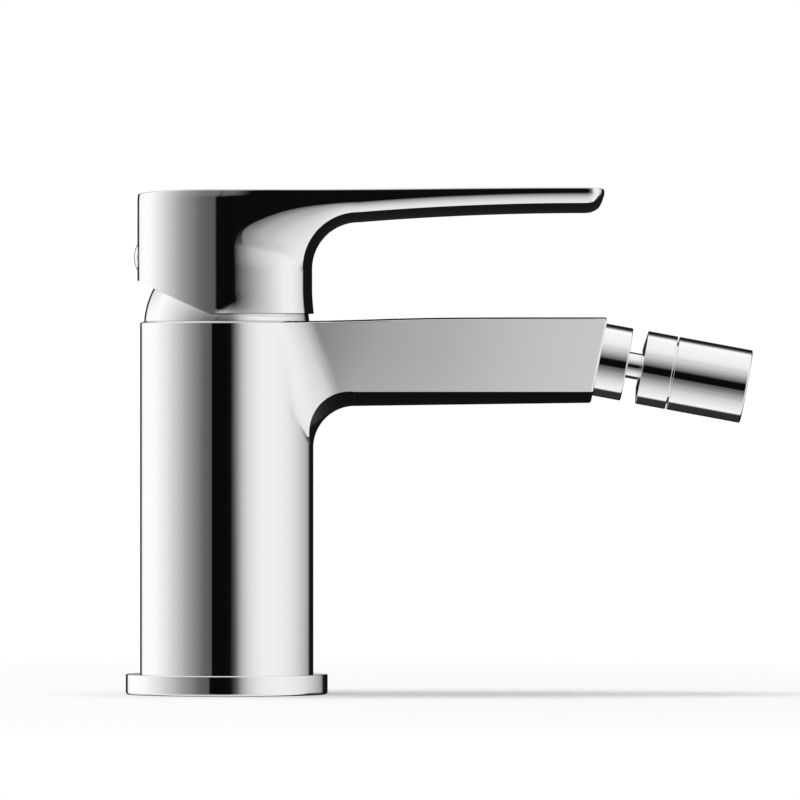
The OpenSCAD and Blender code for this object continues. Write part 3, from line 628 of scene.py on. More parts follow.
@dataclass
class BodyCasting:
    """The column with its spout, one casting."""

    wardrobe: Wardrobe
    outlet: Outlet
    column_r: float = 23.0
    foot_z: float = 2.6
    column_top: float = 99.0
    bore_r: float = 20.0
    well_r: float = 20.0
    well_top: float = 31.6
    corner_x: float = 34.0
    corner_z: float = 66.0
    corner_r: float = 10.5
    root_half: float = 15.2
    tip_half: float = 16.4
    root_lean: float = 15.0
    tip_lean: float = 26.0
    lean_haste: float = 0.6
    root_ease: float = 5.0
    top_rise: float = 0.95
    rise_start: float = 20.0
    rise_spread: float = 600.0
    belly_slope: float = 0.0132
    belly_curve: tuple[float, float, float] = (3.75, 2.99, -2.58)
    belly_foot: float = 0.9
    belly_tip: float = 3.0
    belly_bend: tuple[float, float] = (1.5, 2.5)
    foot_spread: float = 0.5
    dip: float = 3.0
    flare_low: float = 5.5
    flare_r: float = 18.5
    blend_start: float = 4.0
    dip_end: float = 10.0
    flare_end: float = 13.0
    joined_end: float = 2.5
    edge_r: float = 0.25
    brow_r: float = 5.5
    brow_start: float = 64.0
    brow_end: float = 76.0
    end_r: float = 0.7
    bore_steps: tuple[tuple[float, float], ...] = (
        (20.0, 99.0), (20.0, 89.0), (17.7, 89.0), (17.7, 86.0), (19.5, 86.0), (19.5, 66.0), (17.7, 66.0),
        (17.7, 62.0), (0.0, 62.0),
    )
    holes: tuple[tuple[float, float, float, float], ...] = (
        (4.5, 12.0, 2.5, 7.5), (4.5, 12.0, 2.5, -7.5), (3.4, 14.0, -9.0, 0.0),
    )

    belly_points = 26
    side_points = 200
    fillet_points = 6
    circle_points = 160
    foot_rows = (6.0, 20.0, 40.0, 58.0, 64.0)
    inside_hole = 0.9997
    sharp = 24.0

    def along(self, x: np.ndarray | float) -> np.ndarray | float:
        """Share of the way from the column to the outlet."""
        whole = soft_run(self.outlet.face[0] - self.column_r, self.root_ease)
        return soft_run(x - self.column_r, self.root_ease) / whole

    def top(self, x: np.ndarray | float) -> np.ndarray | float:
        """Height of the top face."""
        past = np.maximum(x - self.rise_start, 0)
        return self.column_top + self.top_rise * (1 - np.exp(-past**2 / self.rise_spread))

    def bottom(self, x: float) -> float:
        """Height of the spout's underside along its middle."""
        return self.corner_z + self.corner_r + self.belly_slope * (x - self.corner_x)

    def half_width(self, x: np.ndarray, z: np.ndarray) -> np.ndarray:
        """Half width of column and spout together.

        Args:
            x: Places along the spout.
            z: Heights at those places.

        Returns:
            The half widths.
        """
        t = self.along(x)
        share = t * (1 + self.lean_haste - self.lean_haste * t)
        lean = np.tan(np.radians(self.root_lean + (self.tip_lean - self.root_lean) * share))
        side = self.root_half + (self.tip_half - self.root_half) * t - (self.top(x) - z) * lean
        root = self.root_half - (self.column_top - z) * math.tan(math.radians(self.root_lean))
        start = self.corner_z - self.blend_start
        dip = self.dip * (1 - smoothstep(start, self.corner_z + self.dip_end, z))
        wider = smoothstep(start, self.corner_z + self.flare_end, z)
        flare = self.flare_low + (self.flare_r - self.flare_low) * wider
        side, root = side - dip, root - dip
        reach = self.column_r + flare
        centre = np.sqrt(reach**2 - (root + flare) ** 2)
        inward = np.clip(centre - x, 0, flare)
        flared = side + flare - np.sqrt(flare**2 - inward**2)
        column = np.sqrt(np.maximum(self.column_r**2 - x * x, 0))
        joined = np.where(x < centre * self.column_r / reach, column, flared)
        return column + (joined - column) * smoothstep(self.corner_z, self.corner_z + self.joined_end, z)

    def ring(self, low: np.ndarray, way: np.ndarray, run: float, belly: float, round_share: float,
             bend: float = 1.5) -> np.ndarray:
        """One half ring from the middle of the belly to the middle of the top or to the column's back.

        Args:
            low: Lowest point of the ring, as x and z.
            way: Direction of the ring's plane, as x and z.
            run: Length of the ring's plane.
            belly: Depth of the belly.
            round_share: 1 where the belly follows the column's circle, else 0.
            bend: How soon the belly's arch runs straight.

        Returns:
            Points as rows of x, y and z.
        """
        crease = low + way * belly
        crease_y = float(self.half_width(np.array([crease[0]]), np.array([crease[1]]))[0])
        v = np.linspace(0, 1, self.belly_points)
        circle = self.column_r - np.sqrt(np.maximum(self.column_r**2 - (crease_y * v) ** 2, 0))
        circle = circle * belly / max(circle[-1], 1e-6)
        depth = belly * arch(v, bend) * (1 - round_share) + circle * round_share
        under = np.stack([low[0] + way[0] * depth, crease_y * v, low[1] + way[1] * depth], axis=1)
        side = side_of_ring(low, way, (belly, run), self.half_width, self.side_points)
        return np.vstack([under, side[1:]])

    def belly_depth(self, angle: float) -> float:
        """Depth of the belly round the corner under the spout.

        Args:
            angle: Direction from the corner's middle, in degrees: 90 is up, 180 is back.

        Returns:
            The depth.
        """
        t = (angle - 90) / 90
        start, slope, curve = self.belly_curve
        return (1 - t * t) * (start + slope * t + curve * t * t) + self.belly_foot * t**6

    def fan_ring(self, angle: float, end_x: float | None) -> np.ndarray:
        """Ring in a plane that fans round the corner under the spout.

        Args:
            angle: Direction of the plane, in degrees: 90 is up, 180 is back.
            end_x: Where the ring ends on top, or None if it ends at the column's back.

        Returns:
            The half ring.
        """
        t = (angle - 90) / 90
        radius = self.corner_r + self.foot_spread * t * t
        way = np.array([math.cos(math.radians(angle)), math.sin(math.radians(angle))])
        low = np.array([self.corner_x, self.corner_z]) + way * radius
        if end_x is None:
            run = (self.corner_x + self.column_r) / -way[0] - radius
        else:
            run = (self.top(end_x) - float(self.brow()[-1, 1]) - self.corner_z) / way[1] - radius
        round_share = float(smoothstep(150, 180, angle))
        bend = self.belly_bend[0] + self.belly_bend[1] * t
        return self.ring(low, way, run, self.belly_depth(angle), round_share, bend)

    def brow(self) -> np.ndarray:
        """Section of the top edge: a small rounding and a broad one.

        Returns:
            Points as rows of inset and rise.
        """
        section = [np.zeros(2)]
        small = (self.edge_r, 0.0, self.brow_start)
        broad = (self.brow_r, self.brow_start, self.brow_end)
        for radius, start, end in (small, broad):
            base = section[-1]
            for tilt in np.radians(np.linspace(start, end, self.fillet_points + 1)[1:]):
                first = math.radians(start)
                step = np.array([math.cos(first) - math.cos(tilt), math.sin(tilt) - math.sin(first)])
                section.append(base + radius * step)
        return np.array(section[1:])

    def edges(self, rings: np.ndarray) -> np.ndarray:
        """Take half rings over the top edge.

        Args:
            rings: Half rings in order from the column's back to the spout's end.

        Returns:
            The longer rings.
        """
        outward = plan_normals(rings[:, -1])
        outward[-1] = outward[-2]
        added = [rings[:, -1] - outward * inset + np.array([0, 0, rise]) for inset, rise in self.brow()]
        added = np.stack(added, axis=1)
        added[:, :, 1] = np.maximum(added[:, :, 1], 0)
        return np.concatenate([rings, added], axis=1)

    def rings(self) -> tuple[np.ndarray, np.ndarray]:
        """Half rings of the column and spout.

        Returns:
            The rings that end at the column's back, and those that end on the top.
        """
        flat = self.fan_ring(180.0, None)
        back = [flat + np.array([0, 0, z - self.corner_z]) for z in (self.foot_z, *self.foot_rows)]
        brow = float(self.brow()[-1, 1])
        rise = self.column_top - brow - self.corner_z
        last = 180 - math.degrees(math.atan2(rise, self.corner_x + self.column_r))
        back += [self.fan_ring(a, None) for a in np.linspace(180, last, 50)]
        top = []
        for turn in np.linspace(math.pi, 0, 90)[:-1]:
            x = self.corner_x * (1 + math.cos(turn)) / 2 - self.column_r * (1 - math.cos(turn)) / 2
            angle = 180 - math.degrees(math.atan2(self.top(x) - brow - self.corner_z, self.corner_x - x))
            top.append(self.fan_ring(angle, x))
        face_x, _, face_z = self.outlet.face
        slant = math.tan(math.radians(self.outlet.tilt))
        for t in (*np.linspace(0, 1, 60)[:-1], 0.997, 1.0):
            low_x, high_x = self.corner_x, self.corner_x
            low_x += t * (face_x + (self.bottom(face_x) - face_z) * slant - self.end_r - self.corner_x)
            high_x += t * (face_x + (self.top(face_x) - face_z) * slant - self.end_r - self.corner_x)
            low = np.array([low_x, self.bottom(low_x)])
            high = np.array([high_x, self.top(high_x) - brow])
            run = float(np.linalg.norm(high - low))
            belly = self.belly_curve[0] + (self.belly_tip - self.belly_curve[0]) * t
            top.append(self.ring(low, (high - low) / run, run, belly, 0.0))
        return np.array(back), self.edges(np.array(top))

    def spout_end(self, last: np.ndarray) -> np.ndarray:
        """Round the spout's end and close it.

        Args:
            last: The last half ring with its top edge.

        Returns:
            Half rings from that one to the middle of the end face.
        """
        tilt = math.radians(self.outlet.tilt)
        ahead = np.array([math.cos(tilt), 0, -math.sin(tilt)])
        middle = np.array([last[0, 0] + last[-1, 0], 0.0, last[0, 2] + last[-1, 2]]) / 2
        half_z = (last[-1, 2] - last[0, 2]) / 2
        out = [last]
        for turn in np.linspace(0, math.pi / 2, self.fillet_points + 1)[1:]:
            inset, rise = self.end_r * (1 - math.cos(turn)), self.end_r * math.sin(turn)
            shrink = np.array([1 - inset / half_z, 1 - inset / self.tip_half, 1 - inset / half_z])
            out.append(middle + (last - middle) * shrink + ahead * rise)
        return np.array(out)

    def build(self) -> bpy.types.Object:
        """Build, dress and attach the casting.

        Returns:
            The piece.
        """
        mesh = SurfaceMesh("column_and_spout")
        back, top = self.rings()
        mesh.both_sides(back)
        mesh.both_sides(top)
        end = self.spout_end(top[-1])
        mesh.both_sides(end)
        face = end[-1]
        centre = np.array([(face[0, 0] + face[-1, 0]) / 2, 0.0, (face[0, 2] + face[-1, 2]) / 2])
        for side in (1.0, -1.0):
            mirror = np.array([1.0, side, 1.0])
            closed = np.vstack([face, [[face[-1, 0], 0.0, face[-1, 2]]]]) * mirror
            mesh.grid(np.array([closed, np.repeat(centre[None], len(closed), axis=0)]))
        rim = np.vstack([top[:, -1], end[1:, -1]])
        front = rim[-1:] * np.array([1.0, 0.0, 1.0])
        loop = np.vstack([rim, front, rim[::-1] * MIRROR])
        turn = np.linspace(0, 2 * math.pi, self.circle_points, endpoint=False)

        def circle(r: float, z: float, x: float = 0.0, y: float = 0.0) -> np.ndarray:
            """Level circle of points round x and y."""
            return np.stack([x + r * np.cos(turn), y + r * np.sin(turn), np.full_like(turn, z)], axis=1)

        def outside(*circles: tuple[float, float, float]) -> Callable[[Vector], bool]:
            """Tell whether a point lies outside some circles, each a radius, x and y."""
            return lambda p: all(math.hypot(p.x - x, p.y - y) > r * self.inside_hole for r, x, y in circles)

        mesh.patch([loop, circle(self.bore_r, self.column_top)], outside((self.bore_r, 0, 0)))
        mesh.grid(np.array([circle(r, z) for r, z in self.bore_steps]), closed=True)
        foot = back[0]
        outer = np.vstack([foot, foot[-2:0:-1] * MIRROR])
        mesh.patch([outer, circle(self.well_r, self.foot_z)], outside((self.well_r, 0, 0)))
        mesh.grid(np.array([circle(self.well_r, self.foot_z), circle(self.well_r, self.well_top)]), closed=True)
        mouths = [circle(r, self.well_top, x, y) for r, _, x, y in self.holes]
        ceiling = [circle(self.well_r, self.well_top), *mouths]
        mesh.patch(ceiling, outside(*((r, x, y) for r, _, x, y in self.holes)))
        for r, depth, x, y in self.holes:
            levels = ((r, 0.0), (r, depth), (0.0, depth))
            mesh.grid(np.array([circle(k, self.well_top + rise, x, y) for k, rise in levels]), closed=True)
        piece = mesh.build(self.sharp)
        attach(piece, "mixer_body", "body", Slot.chrome, self.wardrobe)
        return piece


@dataclass
class LeverCasting:
    """The lever: a round head with a flat arm."""

    wardrobe: Wardrobe
    widest_x: float = 0.3
    head_half: float = 23.2
    back_run: float = 24.0
    back_bulge: float = 20.0
    back_power: float = 2.5
    taper: float = 0.026
    corner_x: float = 35.05
    corner_z: float = 112.9
    corner_r: float = 12.35
    belly: float = 2.4
    arm_rise: float = 2.45
    arm_tuck: float = 1.4
    head_tuck: float = 6.7
    arm_side: float = 5.1
    side_growth: float = 27.0
    corner_blend: float = 4.5
    tip_x: float = 95.0
    tip_lift: float = 2.0
    sweep_x: float = -3.4
    sweep_run: float = 2.9
    sweep_h: float = 6.0
    sweep_depth: float = 0.45
    band_x: float = 1.7
    bottom_z: float = 101.0
    skirt_start: float = -4.0
    skirt_run: float = 19.7
    top_z: float = 133.7
    edge_r: float = 0.3
    crown: float = 1.8
    crown_lean: float = 0.1
    reach: float = 100.15
    tip_r: float = 3.2
    tip_turn: float = 86.0
    cavity_r: float = 22.3
    pivot_z: float = 97.4

    belly_points = 26
    side_points = 150
    edge_points = 6
    top_points = 5
    inner_points = 30

    def arm_half(self, x: np.ndarray | float) -> np.ndarray | float:
        """Half width of the arm and of the head's front half."""
        return self.head_half - self.taper * soft_run(x - self.widest_x, 5.0)

    def top(self, x: np.ndarray | float) -> np.ndarray | float:
        """Height of the top face."""
        behind = 0.9 * (np.maximum(-x, 0) / 23.7) ** 3
        return self.top_z - behind + 0.5 * smoothstep(20, 90, x) - 0.3 * clamp01((x - self.tip_x) / 5) ** 2

    def middle_z(self, x: np.ndarray | float) -> np.ndarray | float:
        """Height of the arm's underside along its middle."""
        t = clamp01((x - self.corner_x) / 60)
        lifted = self.tip_lift * clamp01((x - self.tip_x) / 4.5) ** 2.2
        return self.corner_z + self.corner_r + self.arm_rise * (1 - (1 - t) ** 2) + lifted

    def skirt(self, x: np.ndarray) -> np.ndarray:
        """Height of the lower edge."""
        u = np.maximum((self.skirt_start - x) / self.skirt_run, 0.0)
        return self.bottom_z + 8.47 * soft_run(u, 0.03) + 0.6 * u * u

    @staticmethod
    def tuck_share(t: np.ndarray, u: np.ndarray | float) -> np.ndarray:
        """Share of the side's tuck.

        Args:
            t: 0 where the side is upright, 1 at the crease.
            u: 0 on the arm, 1 on the head's front.

        Returns:
            The shares.
        """
        early = 0.3 + 0.6 * u * (1 - u) - 0.13 * u * u
        late = 0.48 * u**6
        return early * soft_run(t, 0.07) * 1.07 + (1 - early - late) * t * t + late * t**7

    def side_height(self, u: np.ndarray | float) -> np.ndarray | float:
        """Distance from the belly's middle to where the side is upright."""
        arm = self.arm_side + self.side_growth * u**2.4
        head = (self.corner_x - self.band_x) / np.maximum(np.sin(u * math.pi / 2), 0.2) - self.corner_r
        return -smooth_max(-arm, -head, self.corner_blend)

    def tuck(self, x: np.ndarray, z: np.ndarray) -> np.ndarray:
        """How far the side stands in from the arm's half width.

        Args:
            x: Places along the lever.
            z: Heights at those places.

        Returns:
            The distances.
        """
        dx, dz = np.maximum(self.corner_x - x, 0), np.maximum(z - self.corner_z, 0)
        u = np.arctan2(dx, dz) / (math.pi / 2)
        above = z - self.middle_z(np.minimum(x, self.tip_x))
        out = np.where(x < self.corner_x, np.hypot(dx, dz) - self.corner_r, above)
        full = self.side_height(u)
        t = clamp01((full - out) / (full - self.belly))
        return (self.arm_tuck + (self.head_tuck - self.arm_tuck) * u * u) * self.tuck_share(t, u)

    def half_width(self, x: np.ndarray, z: np.ndarray) -> np.ndarray:
        """Half width of the lever.

        Args:
            x: Places along the lever.
            z: Heights at those places.

        Returns:
            The half widths.
        """
        behind = np.clip(self.widest_x - x, 0, self.back_run)
        lean = (self.head_half - self.back_bulge) / soft_run(self.back_run, 1.5)
        bulge = (1 - (behind / self.back_run) ** self.back_power) ** (1 / self.back_power)
        back = lean * soft_run(behind, 1.5) + self.back_bulge * (1 - bulge)
        return self.arm_half(x) - self.tuck(x, z) - back

    def ring(self, low: tuple[float, float], way: tuple[float, float], run: float) -> np.ndarray:
        """One half ring in a plane, from the middle of the belly up the side.

        Args:
            low: Lowest point of the ring, as x and z.
            way: Direction of the ring's plane, as x and z.
            run: Length of the ring's plane.

        Returns:
            Points as rows of x, y and z.
        """
        crease = np.array(low) + np.array(way) * self.belly
        crease_y = float(self.half_width(crease[:1], crease[1:])[0])
        v = np.linspace(0, 1, self.belly_points)
        depth = self.belly * arch(v)
        under = np.stack([low[0] + way[0] * depth, crease_y * v, low[1] + way[1] * depth], axis=1)
        side = side_of_ring(low, way, (self.belly, run), self.half_width, self.side_points)
        return np.vstack([under, side[1:]])

    def fan_ring(self, angle: float, end_x: float | None) -> np.ndarray:
        """Ring in a plane that fans round the corner under the arm.

        Args:
            angle: Direction of the plane, in degrees: 90 is up, 180 is back.
            end_x: Where the ring ends on top, or None if it ends at the back.

        Returns:
            The half ring.
        """
        way = (math.cos(math.radians(angle)), math.sin(math.radians(angle)))
        low = (self.corner_x + way[0] * self.corner_r, self.corner_z + way[1] * self.corner_r)
        if end_x is None:
            run = (self.corner_x - self.widest_x + self.back_run) / -way[0] - self.corner_r
        else:
            run = (self.shoulder(end_x) - self.corner_z) / way[1] - self.corner_r
        return self.ring(low, way, run)

    def shoulder(self, x: float) -> float:
        """Height where the rounding of the top edge begins."""
        return float(self.top(x)) - self.edge_r - self.crown

    def tip_bow(self) -> tuple[float, float]:
        """Find the tip's corner and its bowed end.

        Returns:
            Where the corner begins, and the radius of the bow.
        """
        half = self.head_half - self.taper * (self.reach - self.widest_x - 7)
        turn = math.radians(self.tip_turn)
        bow_r = (half - self.tip_r * (1 - math.cos(turn))) / math.cos(turn)
        return self.reach - bow_r * (1 - math.sin(turn)) - self.tip_r * math.sin(turn), bow_r

    def tip_plan(self) -> np.ndarray:
        """Half the tip's outline: a small corner and a bowed end.

        Returns:
            Points as rows of x, y and z.
        """
        start, bow_r = self.tip_bow()
        half = float(self.arm_half(start))
        bow = np.linspace(self.tip_turn, 90, 30)[1:]
        turn = np.radians(np.concatenate([np.linspace(0, self.tip_turn, 40), bow]))
        corner = turn <= math.radians(self.tip_turn)
        x = np.where(corner, start + self.tip_r * np.sin(turn), self.reach - bow_r * (1 - np.sin(turn)))
        y = np.where(corner, half - self.tip_r * (1 - np.cos(turn)), bow_r * np.cos(turn))
        join = half - self.tip_r * (1 - math.cos(math.radians(self.tip_turn)))
        y = np.where(corner, y, y * join / (bow_r * math.cos(math.radians(self.tip_turn))))
        return np.stack([x, y, 0 * x], axis=1)

    def tip_rings(self) -> np.ndarray:
        """Half rings round the arm's tip.

        Returns:
            The rings, shaped rings by points by 3.
        """
        plan = self.tip_plan()
        outward = plan_normals(plan)
        rings = []
        for point, normal in zip(plan[1:], outward[1:]):
            crease = point - normal * self.arm_tuck
            crease[1] = max(crease[1], 0.0)
            y = crease[1] * np.linspace(0, 1, self.belly_points)
            width = float(self.arm_half(crease[0])) - self.arm_tuck
            under_z = self.middle_z(crease[0]) + self.belly * arch(y / width)
            under = np.stack([np.full_like(y, crease[0]), y, under_z], axis=1)
            z = np.linspace(under_z[-1], self.shoulder(point[0]), self.side_points)
            full = float(self.middle_z(min(point[0], self.tip_x)) + self.side_height(0.0))
            t = clamp01((full - z) / (full - z[0]))
            inset = self.arm_tuck * self.tuck_share(t, 0.0)
            side = point - normal * inset[:, None]
            side[:, 1] = np.maximum(side[:, 1], 0)
            side[:, 2] = z
            rings.append(np.vstack([under, side[1:]]))
        return np.array(rings)

    def topped(self, rings: np.ndarray) -> np.ndarray:
        """Take half rings over the top edge and to the middle of the top.

        Args:
            rings: Half rings in order from the back to the tip, each ending at the shoulder.

        Returns:
            The longer rings.
        """
        ends = rings[:, -1]
        outward = plan_normals(ends)
        crowned = (1 - smoothstep(0.0, 12.0, ends[:, 0])) * self.crown_lean
        more = []
        held = self.tuck(ends[:, 0], ends[:, 2])
        for height in np.linspace(0, self.crown, 8)[1:]:
            inset = crowned * soft_run(height, 0.5) + self.tuck(ends[:, 0], ends[:, 2] + height) - held
            more.append(ends - outward * inset[:, None] + np.array([0, 0, height]))
        base = more[-1]
        first = np.arctan(crowned)
        for share in np.linspace(0, 1, self.edge_points + 1)[1:]:
            turn = first + (math.pi / 2 - first) * share
            size = self.edge_r / (1 - np.sin(first))
            inset = size * (np.cos(first) - np.cos(turn))
            rise = size * (np.sin(turn) - np.sin(first))
            more.append(base - outward * inset[:, None] + np.array([0, 0, 1.0]) * rise[:, None])
        rim = more[-1]
        for share in np.linspace(1, 0, self.top_points + 1)[1:]:
            more.append(rim * np.array([1, share, 1]))
        added = np.stack(more, axis=1)
        added[:, :, 1] = np.maximum(added[:, :, 1], 0)
        return np.concatenate([rings, added], axis=1)

    def skirt_rings(self, flat: np.ndarray) -> np.ndarray:
        """Half rings down the head to its lower edge and up its hollow.

        Args:
            flat: The head's level half ring.

        Returns:
            The rings below that one, then those of the hollow.
        """
        outward = plan_normals(flat)
        bottom = self.skirt(flat[:, 0])
        rings = []
        for share in (0.85, 0.6, 0.5, 0.42, 0.36, 0.3, 0.25, 0.2, 0.15, 0.1, 0.05, 0.0):
            z = bottom + (self.corner_z - bottom) * share
            past = np.maximum(flat[:, 0] - self.sweep_x - self.sweep_run * np.sqrt(z - bottom), 0)
            low = clamp01((bottom + self.sweep_h - z) / self.sweep_h) ** 1.5
            inset = self.sweep_depth * low * (1 - np.exp(-past / 4))
            ring = flat - outward * inset[:, None]
            ring[:, 1] = np.maximum(ring[:, 1], 0)
            ring[:, 2] = z
            rings.append(ring)
        lowest = rings[-1]
        spread = np.maximum(np.hypot(lowest[:, 0], lowest[:, 1]), 1e-9)
        inner = np.minimum(np.sqrt(self.cavity_r**2 - (lowest[:, 2] - self.pivot_z) ** 2), spread - 0.15)
        first = np.arcsin(inner / self.cavity_r)
        for share in np.linspace(1, 0, self.inner_points):
            angle = first * share
            scale = self.cavity_r * np.sin(angle) / spread
            height = self.pivot_z + self.cavity_r * np.cos(angle)
            if share == 1:
                height = lowest[:, 2]
            rings.append(np.stack([lowest[:, 0] * scale, lowest[:, 1] * scale, height], axis=1))
        return np.array(rings)

    def build(self) -> bpy.types.Object:
        """Build, dress and attach the lever.

        Returns:
            The piece.
        """
        flat = self.fan_ring(180.0, None)
        back_x = self.widest_x - self.back_run
        rise = self.shoulder(back_x) - self.corner_z
        last = 180 - math.degrees(math.atan2(rise, self.corner_x - back_x))
        back = np.array([self.fan_ring(a, None) for a in np.linspace(180, last, 40)])
        top = []
        for turn in np.linspace(math.pi, 0, 110)[:-1]:
            x = self.corner_x * (1 + math.cos(turn)) / 2 + back_x * (1 - math.cos(turn)) / 2
            angle = 180 - math.degrees(math.atan2(self.shoulder(x) - self.corner_z, self.corner_x - x))
            top.append(self.fan_ring(angle, x))
        for x in np.linspace(self.corner_x, self.tip_bow()[0], 70):
            low = float(self.middle_z(x))
            top.append(self.ring((x, low), (0.0, 1.0), self.shoulder(x) - low))
        top = self.topped(np.concatenate([np.array(top), self.tip_rings()]))
        mesh = SurfaceMesh("lever_casting")
        mesh.both_sides(np.concatenate([flat[None], self.skirt_rings(flat)]))
        mesh.both_sides(back)
        mesh.both_sides(top)
        piece = mesh.build(24.0)
        attach(piece, "lever_handle", "lever", Slot.chrome, self.wardrobe)
        return piece


@dataclass
class ColumnTrim:
    """The ring under the column, the dome over it and the lever's index plug."""

    wardrobe: Wardrobe
    ring_r: float = 26.8
    ring_h: float = 5.4
    lip_r: float = 19.6
    lip_h: float = 2.6
    column_r: float = 23.1
    dome_r: float = 22.0
    dome_wall: float = 1.2
    dome_foot: float = 99.0
    dome_rim: float = 12.5
    pivot_z: float = 97.4
    plug_x: float = -23.7
    plug_z: float = 116.0
    plug_r: float = 3.5
    plug_dome: float = 0.9

    def ring(self) -> bpy.types.Object:
        """Make the base ring.

        Returns:
            The piece.
        """
        return Turned().make("base_trim", [
            Corner(self.lip_r, 0), Corner(22.0, 0), Corner(22.0, 1.6), Corner(25.6, 1.6), Corner(25.6, 0),
            Corner(self.ring_r, 0, 0.7), Corner(self.ring_r, self.ring_h, 0.3),
            Corner(self.column_r, self.ring_h, 0.25), Corner(self.column_r, self.lip_h),
            Corner(self.lip_r, self.lip_h),
        ])

    def dome(self) -> bpy.types.Object:
        """Make the dome over the cartridge.

        Returns:
            The piece.
        """
        inner_r = self.dome_r - self.dome_wall
        foot = math.degrees(math.acos((self.dome_foot - self.pivot_z) / self.dome_r))
        rim = math.degrees(math.acos(self.dome_rim / self.dome_r))
        inner_rim = math.degrees(math.acos(self.dome_rim / inner_r))
        shelf = math.degrees(math.acos((self.dome_foot + 1.2 - self.pivot_z) / inner_r))
        return Turned().make("dome_cover", [
            *arc_outline(self.pivot_z, self.dome_r, foot, rim),
            *arc_outline(self.pivot_z, inner_r, inner_rim, shelf),
            Corner(18.9, self.dome_foot + 1.2), Corner(18.9, 96.7), Corner(19.9, 96.7),
            Corner(19.9, self.dome_foot),
        ])

    def plug(self) -> bpy.types.Object:
        """Make the index plug.

        Returns:
            The piece.
        """
        cap_r = (self.plug_r**2 + self.plug_dome**2) / (2 * self.plug_dome)
        edge = math.degrees(math.asin(self.plug_r / cap_r))
        turned = Turned(Vector((self.plug_x, 0, self.plug_z)), -90)
        return turned.make("index_button", [
            *arc_outline(self.plug_dome - cap_r, cap_r, 0, edge, 16),
            Corner(self.plug_r, -0.1), Corner(3.1, -0.1), Corner(3.1, -5), Corner(0, -5),
        ])

    def build(self) -> list[bpy.types.Object]:
        """Build, dress and attach the trim.

        Returns:
            The pieces.
        """
        pieces = []
        for make, node, body in (
            (self.ring, "base_ring", "body"), (self.dome, "dome_cap", "body"),
            (self.plug, "index_plug", "lever"),
        ):
            piece = make()
            attach(piece, node, body, Slot.chrome, self.wardrobe)
            pieces.append(piece)
        return pieces


# The studio


def light_of(tone: float) -> float:
    """Strength of light that a polished surface shows as a display tone from 0 to 1."""
    linear = tone / 12.92 if tone <= 0.04045 else ((tone + 0.055) / 1.055) ** 2.4
    return linear / Slot.chrome.value.colour[0]


@dataclass(frozen=True)
class SoftLight:
    """How bright the studio is on one side: greys from 0 to 255, by degrees from the camera's axis."""

    greys: tuple[tuple[float, float], ...]

    headroom = 1.25

    def stops(self) -> list[tuple[float, float]]:
        """Stops of a ramp over half a turn."""
        return [(angle / 180, light_of(grey / 255) / self.headroom) for angle, grey in self.greys]


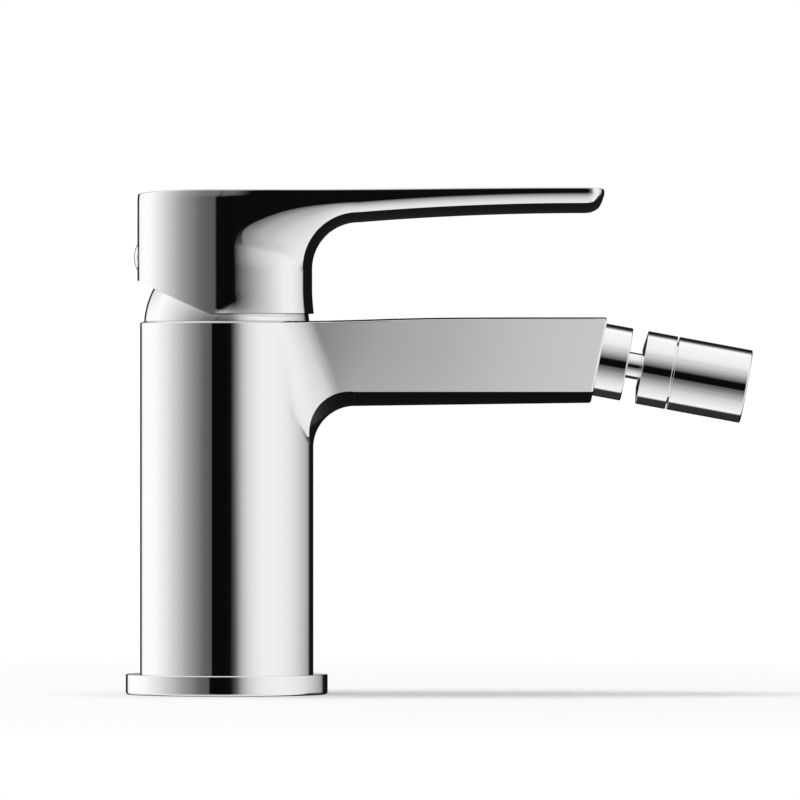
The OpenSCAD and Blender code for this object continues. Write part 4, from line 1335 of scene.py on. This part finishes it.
@dataclass
class Studio:
    """Camera, floor and light."""

    aim: tuple[float, float] = (46.0, 78.1)
    distance: float = 3000.0
    view_width: float = 212.4
    sensor: float = 36.0
    plain_light: float = 0.45
    lamp_power: float = 24.0
    lamp_height: float = 2.0
    lamp_x: float = -0.12
    lamp_size: float = 1.2
    right: SoftLight = SoftLight((
        (6, 12), (10, 83), (15, 135), (20.5, 180), (26, 205), (31, 217), (37, 227), (48, 237), (66, 239),
        (79, 235), (94, 226), (102, 218), (111, 206), (121, 191), (133, 170), (139, 150), (146, 20), (180, 16),
    ))
    left: SoftLight = SoftLight((
        (18.7, 8), (19.5, 84), (23.0, 89), (27.6, 94), (33, 107), (38.6, 126), (44, 138), (50, 151), (56, 165),
        (62, 183), (68, 194), (75, 207), (82, 219), (89, 230), (97, 237), (105, 246), (114, 251), (137, 251), (148, 242),
        (154, 230), (157, 50), (162, 22), (180, 20),
    ))
    above: SoftLight = SoftLight((
        (5.5, 8), (9, 80), (13, 114), (19, 137), (26, 168), (32, 182), (38, 202), (45, 207), (55, 231), (65, 239),
        (98, 246), (113, 253), (119, 240), (125, 161), (132, 57), (140, 22), (164, 24), (170, 110), (176, 200),
    ))
    below: SoftLight = SoftLight((
        (14.6, 10), (15.6, 84), (17.5, 92), (24, 112), (30, 137), (36, 162), (43, 174), (50, 194), (56, 207),
        (63, 216), (71, 226), (82, 233), (100, 245), (103, 200), (106.5, 60), (110, 14), (140, 18), (160, 22),
        (180, 40),
    ))

    def camera(self) -> None:
        """Place the camera on the photograph's axis."""
        data = bpy.data.cameras.new("camera")
        data.sensor_width = self.sensor
        data.lens = self.sensor * self.distance / self.view_width
        data.clip_end = 20.0
        camera = bpy.data.objects.new("camera", data)
        camera.location = (self.aim[0] * MM, -self.distance * MM, self.aim[1] * MM)
        camera.rotation_euler = (math.radians(90), 0, 0)
        bpy.context.scene.collection.objects.link(camera)
        bpy.context.scene.camera = camera

    def world(self) -> None:
        """Light the scene: plain for matt surfaces, black cards and soft boxes for polished ones."""
        world = bpy.data.worlds.new("studio")
        world.use_nodes = True
        bpy.context.scene.world = world
        tree = ShaderTree(world.node_tree)
        way = tree.node("ShaderNodeTexCoord", output="Generated")
        split = tree.node("ShaderNodeSeparateXYZ", inputs={0: way})
        x, y, z = (Value(tree, split.socket.node.outputs[k]) for k in range(3))
        place = (y * -1.0).arccos() / math.pi
        sideways, upward = x.above(0.0), z.above(0.0)
        across = (x * x) / (x * x + z * z + 1e-6)
        corner = sideways * (1 - upward)
        near = (1.6 - place * 3.0).clamped()
        diagonal = place * (across * (1 - across) * 1.8 * corner * near + 1.0)

        def ramp(side: SoftLight) -> Value:
            """Brightness of one side at the reflected direction."""
            return tree.node("ShaderNodeValToRGB", {"stops": side.stops()}, {0: diagonal}) * 1.0

        level = ramp(self.right) * sideways + ramp(self.left) * (1 - sideways)
        upright = ramp(self.above) * upward + ramp(self.below) * (1 - upward)
        share = (((1 - across) ** 0.42) * 1.05 - 0.05).clamped()
        blocked = (level ** (1 - share)) * (upright ** share)
        mixed = level * across + upright * (1 - across)
        tone = (blocked * corner + mixed * (1 - corner)) * SoftLight.headroom
        polished = tree.node("ShaderNodeBackground", inputs={"Color": (1, 1, 1, 1), "Strength": tone})
        plain = tree.node("ShaderNodeBackground", inputs={"Color": (1, 1, 1, 1), "Strength": self.plain_light})
        white = tree.node("ShaderNodeBackground", inputs={"Color": (1, 1, 1, 1), "Strength": 1.0})
        path = tree.node("ShaderNodeLightPath")
        outputs = path.socket.node.outputs
        glossy = Value(tree, outputs["Is Glossy Ray"])
        seen = Value(tree, outputs["Is Camera Ray"])
        lit = tree.node("ShaderNodeMixShader", inputs={0: glossy, 1: plain, 2: polished})
        shown = tree.node("ShaderNodeMixShader", inputs={0: seen, 1: lit, 2: white})
        tree.node("ShaderNodeOutputWorld", inputs={"Surface": shown})

    def floor(self) -> None:
        """Lay the pale floor, which turns plain white away from the mixer."""
        bpy.ops.mesh.primitive_plane_add(size=6.0, location=(0, 0, 0))
        floor = bpy.context.object
        floor.name = "floor"
        material = bpy.data.materials.new("pale_floor")
        material.use_nodes = True
        tree = ShaderTree(material.node_tree)
        place = tree.node("ShaderNodeTexCoord", output="Object")
        away = tree.node("ShaderNodeVectorMath", {"operation": "LENGTH"}, {0: place}, "Value")
        near = tree.node("ShaderNodeBsdfDiffuse", inputs={"Color": (0.97, 0.97, 0.97, 1.0)})
        far = tree.node("ShaderNodeEmission", inputs={"Strength": 1.0})
        share = ((away - 0.2) * 5.0).clamped()
        surface = tree.node("ShaderNodeMixShader", inputs={0: share, 1: near, 2: far})
        tree.node("ShaderNodeOutputMaterial", inputs={"Surface": surface})
        floor.data.materials.append(material)
        floor.visible_glossy = False

    def lamp(self) -> None:
        """Hang one soft lamp over the spout."""
        data = bpy.data.lights.new("soft_lamp", "AREA")
        data.shape = "DISK"
        data.size = self.lamp_size
        data.energy = self.lamp_power
        lamp = bpy.data.objects.new("soft_lamp", data)
        lamp.location = (self.lamp_x, 0, self.lamp_height)
        lamp.visible_glossy = False
        bpy.context.scene.collection.objects.link(lamp)

    def build(self) -> None:
        """Set up the whole studio."""
        bpy.context.scene.view_settings.view_transform = "Standard"
        self.camera()
        self.world()
        self.floor()
        self.lamp()


def main() -> None:
    """Build the studio and the mixer's pieces."""
    logging.basicConfig(level=logging.INFO, format="%(message)s")
    Studio().build()
    wardrobe = Wardrobe()
    wardrobe.dress_cad_nodes()
    outlet = Outlet(wardrobe)
    BodyCasting(wardrobe, outlet).build()
    LeverCasting(wardrobe).build()
    ColumnTrim(wardrobe).build()
    outlet.build()


if __name__ == "__main__":
    main()
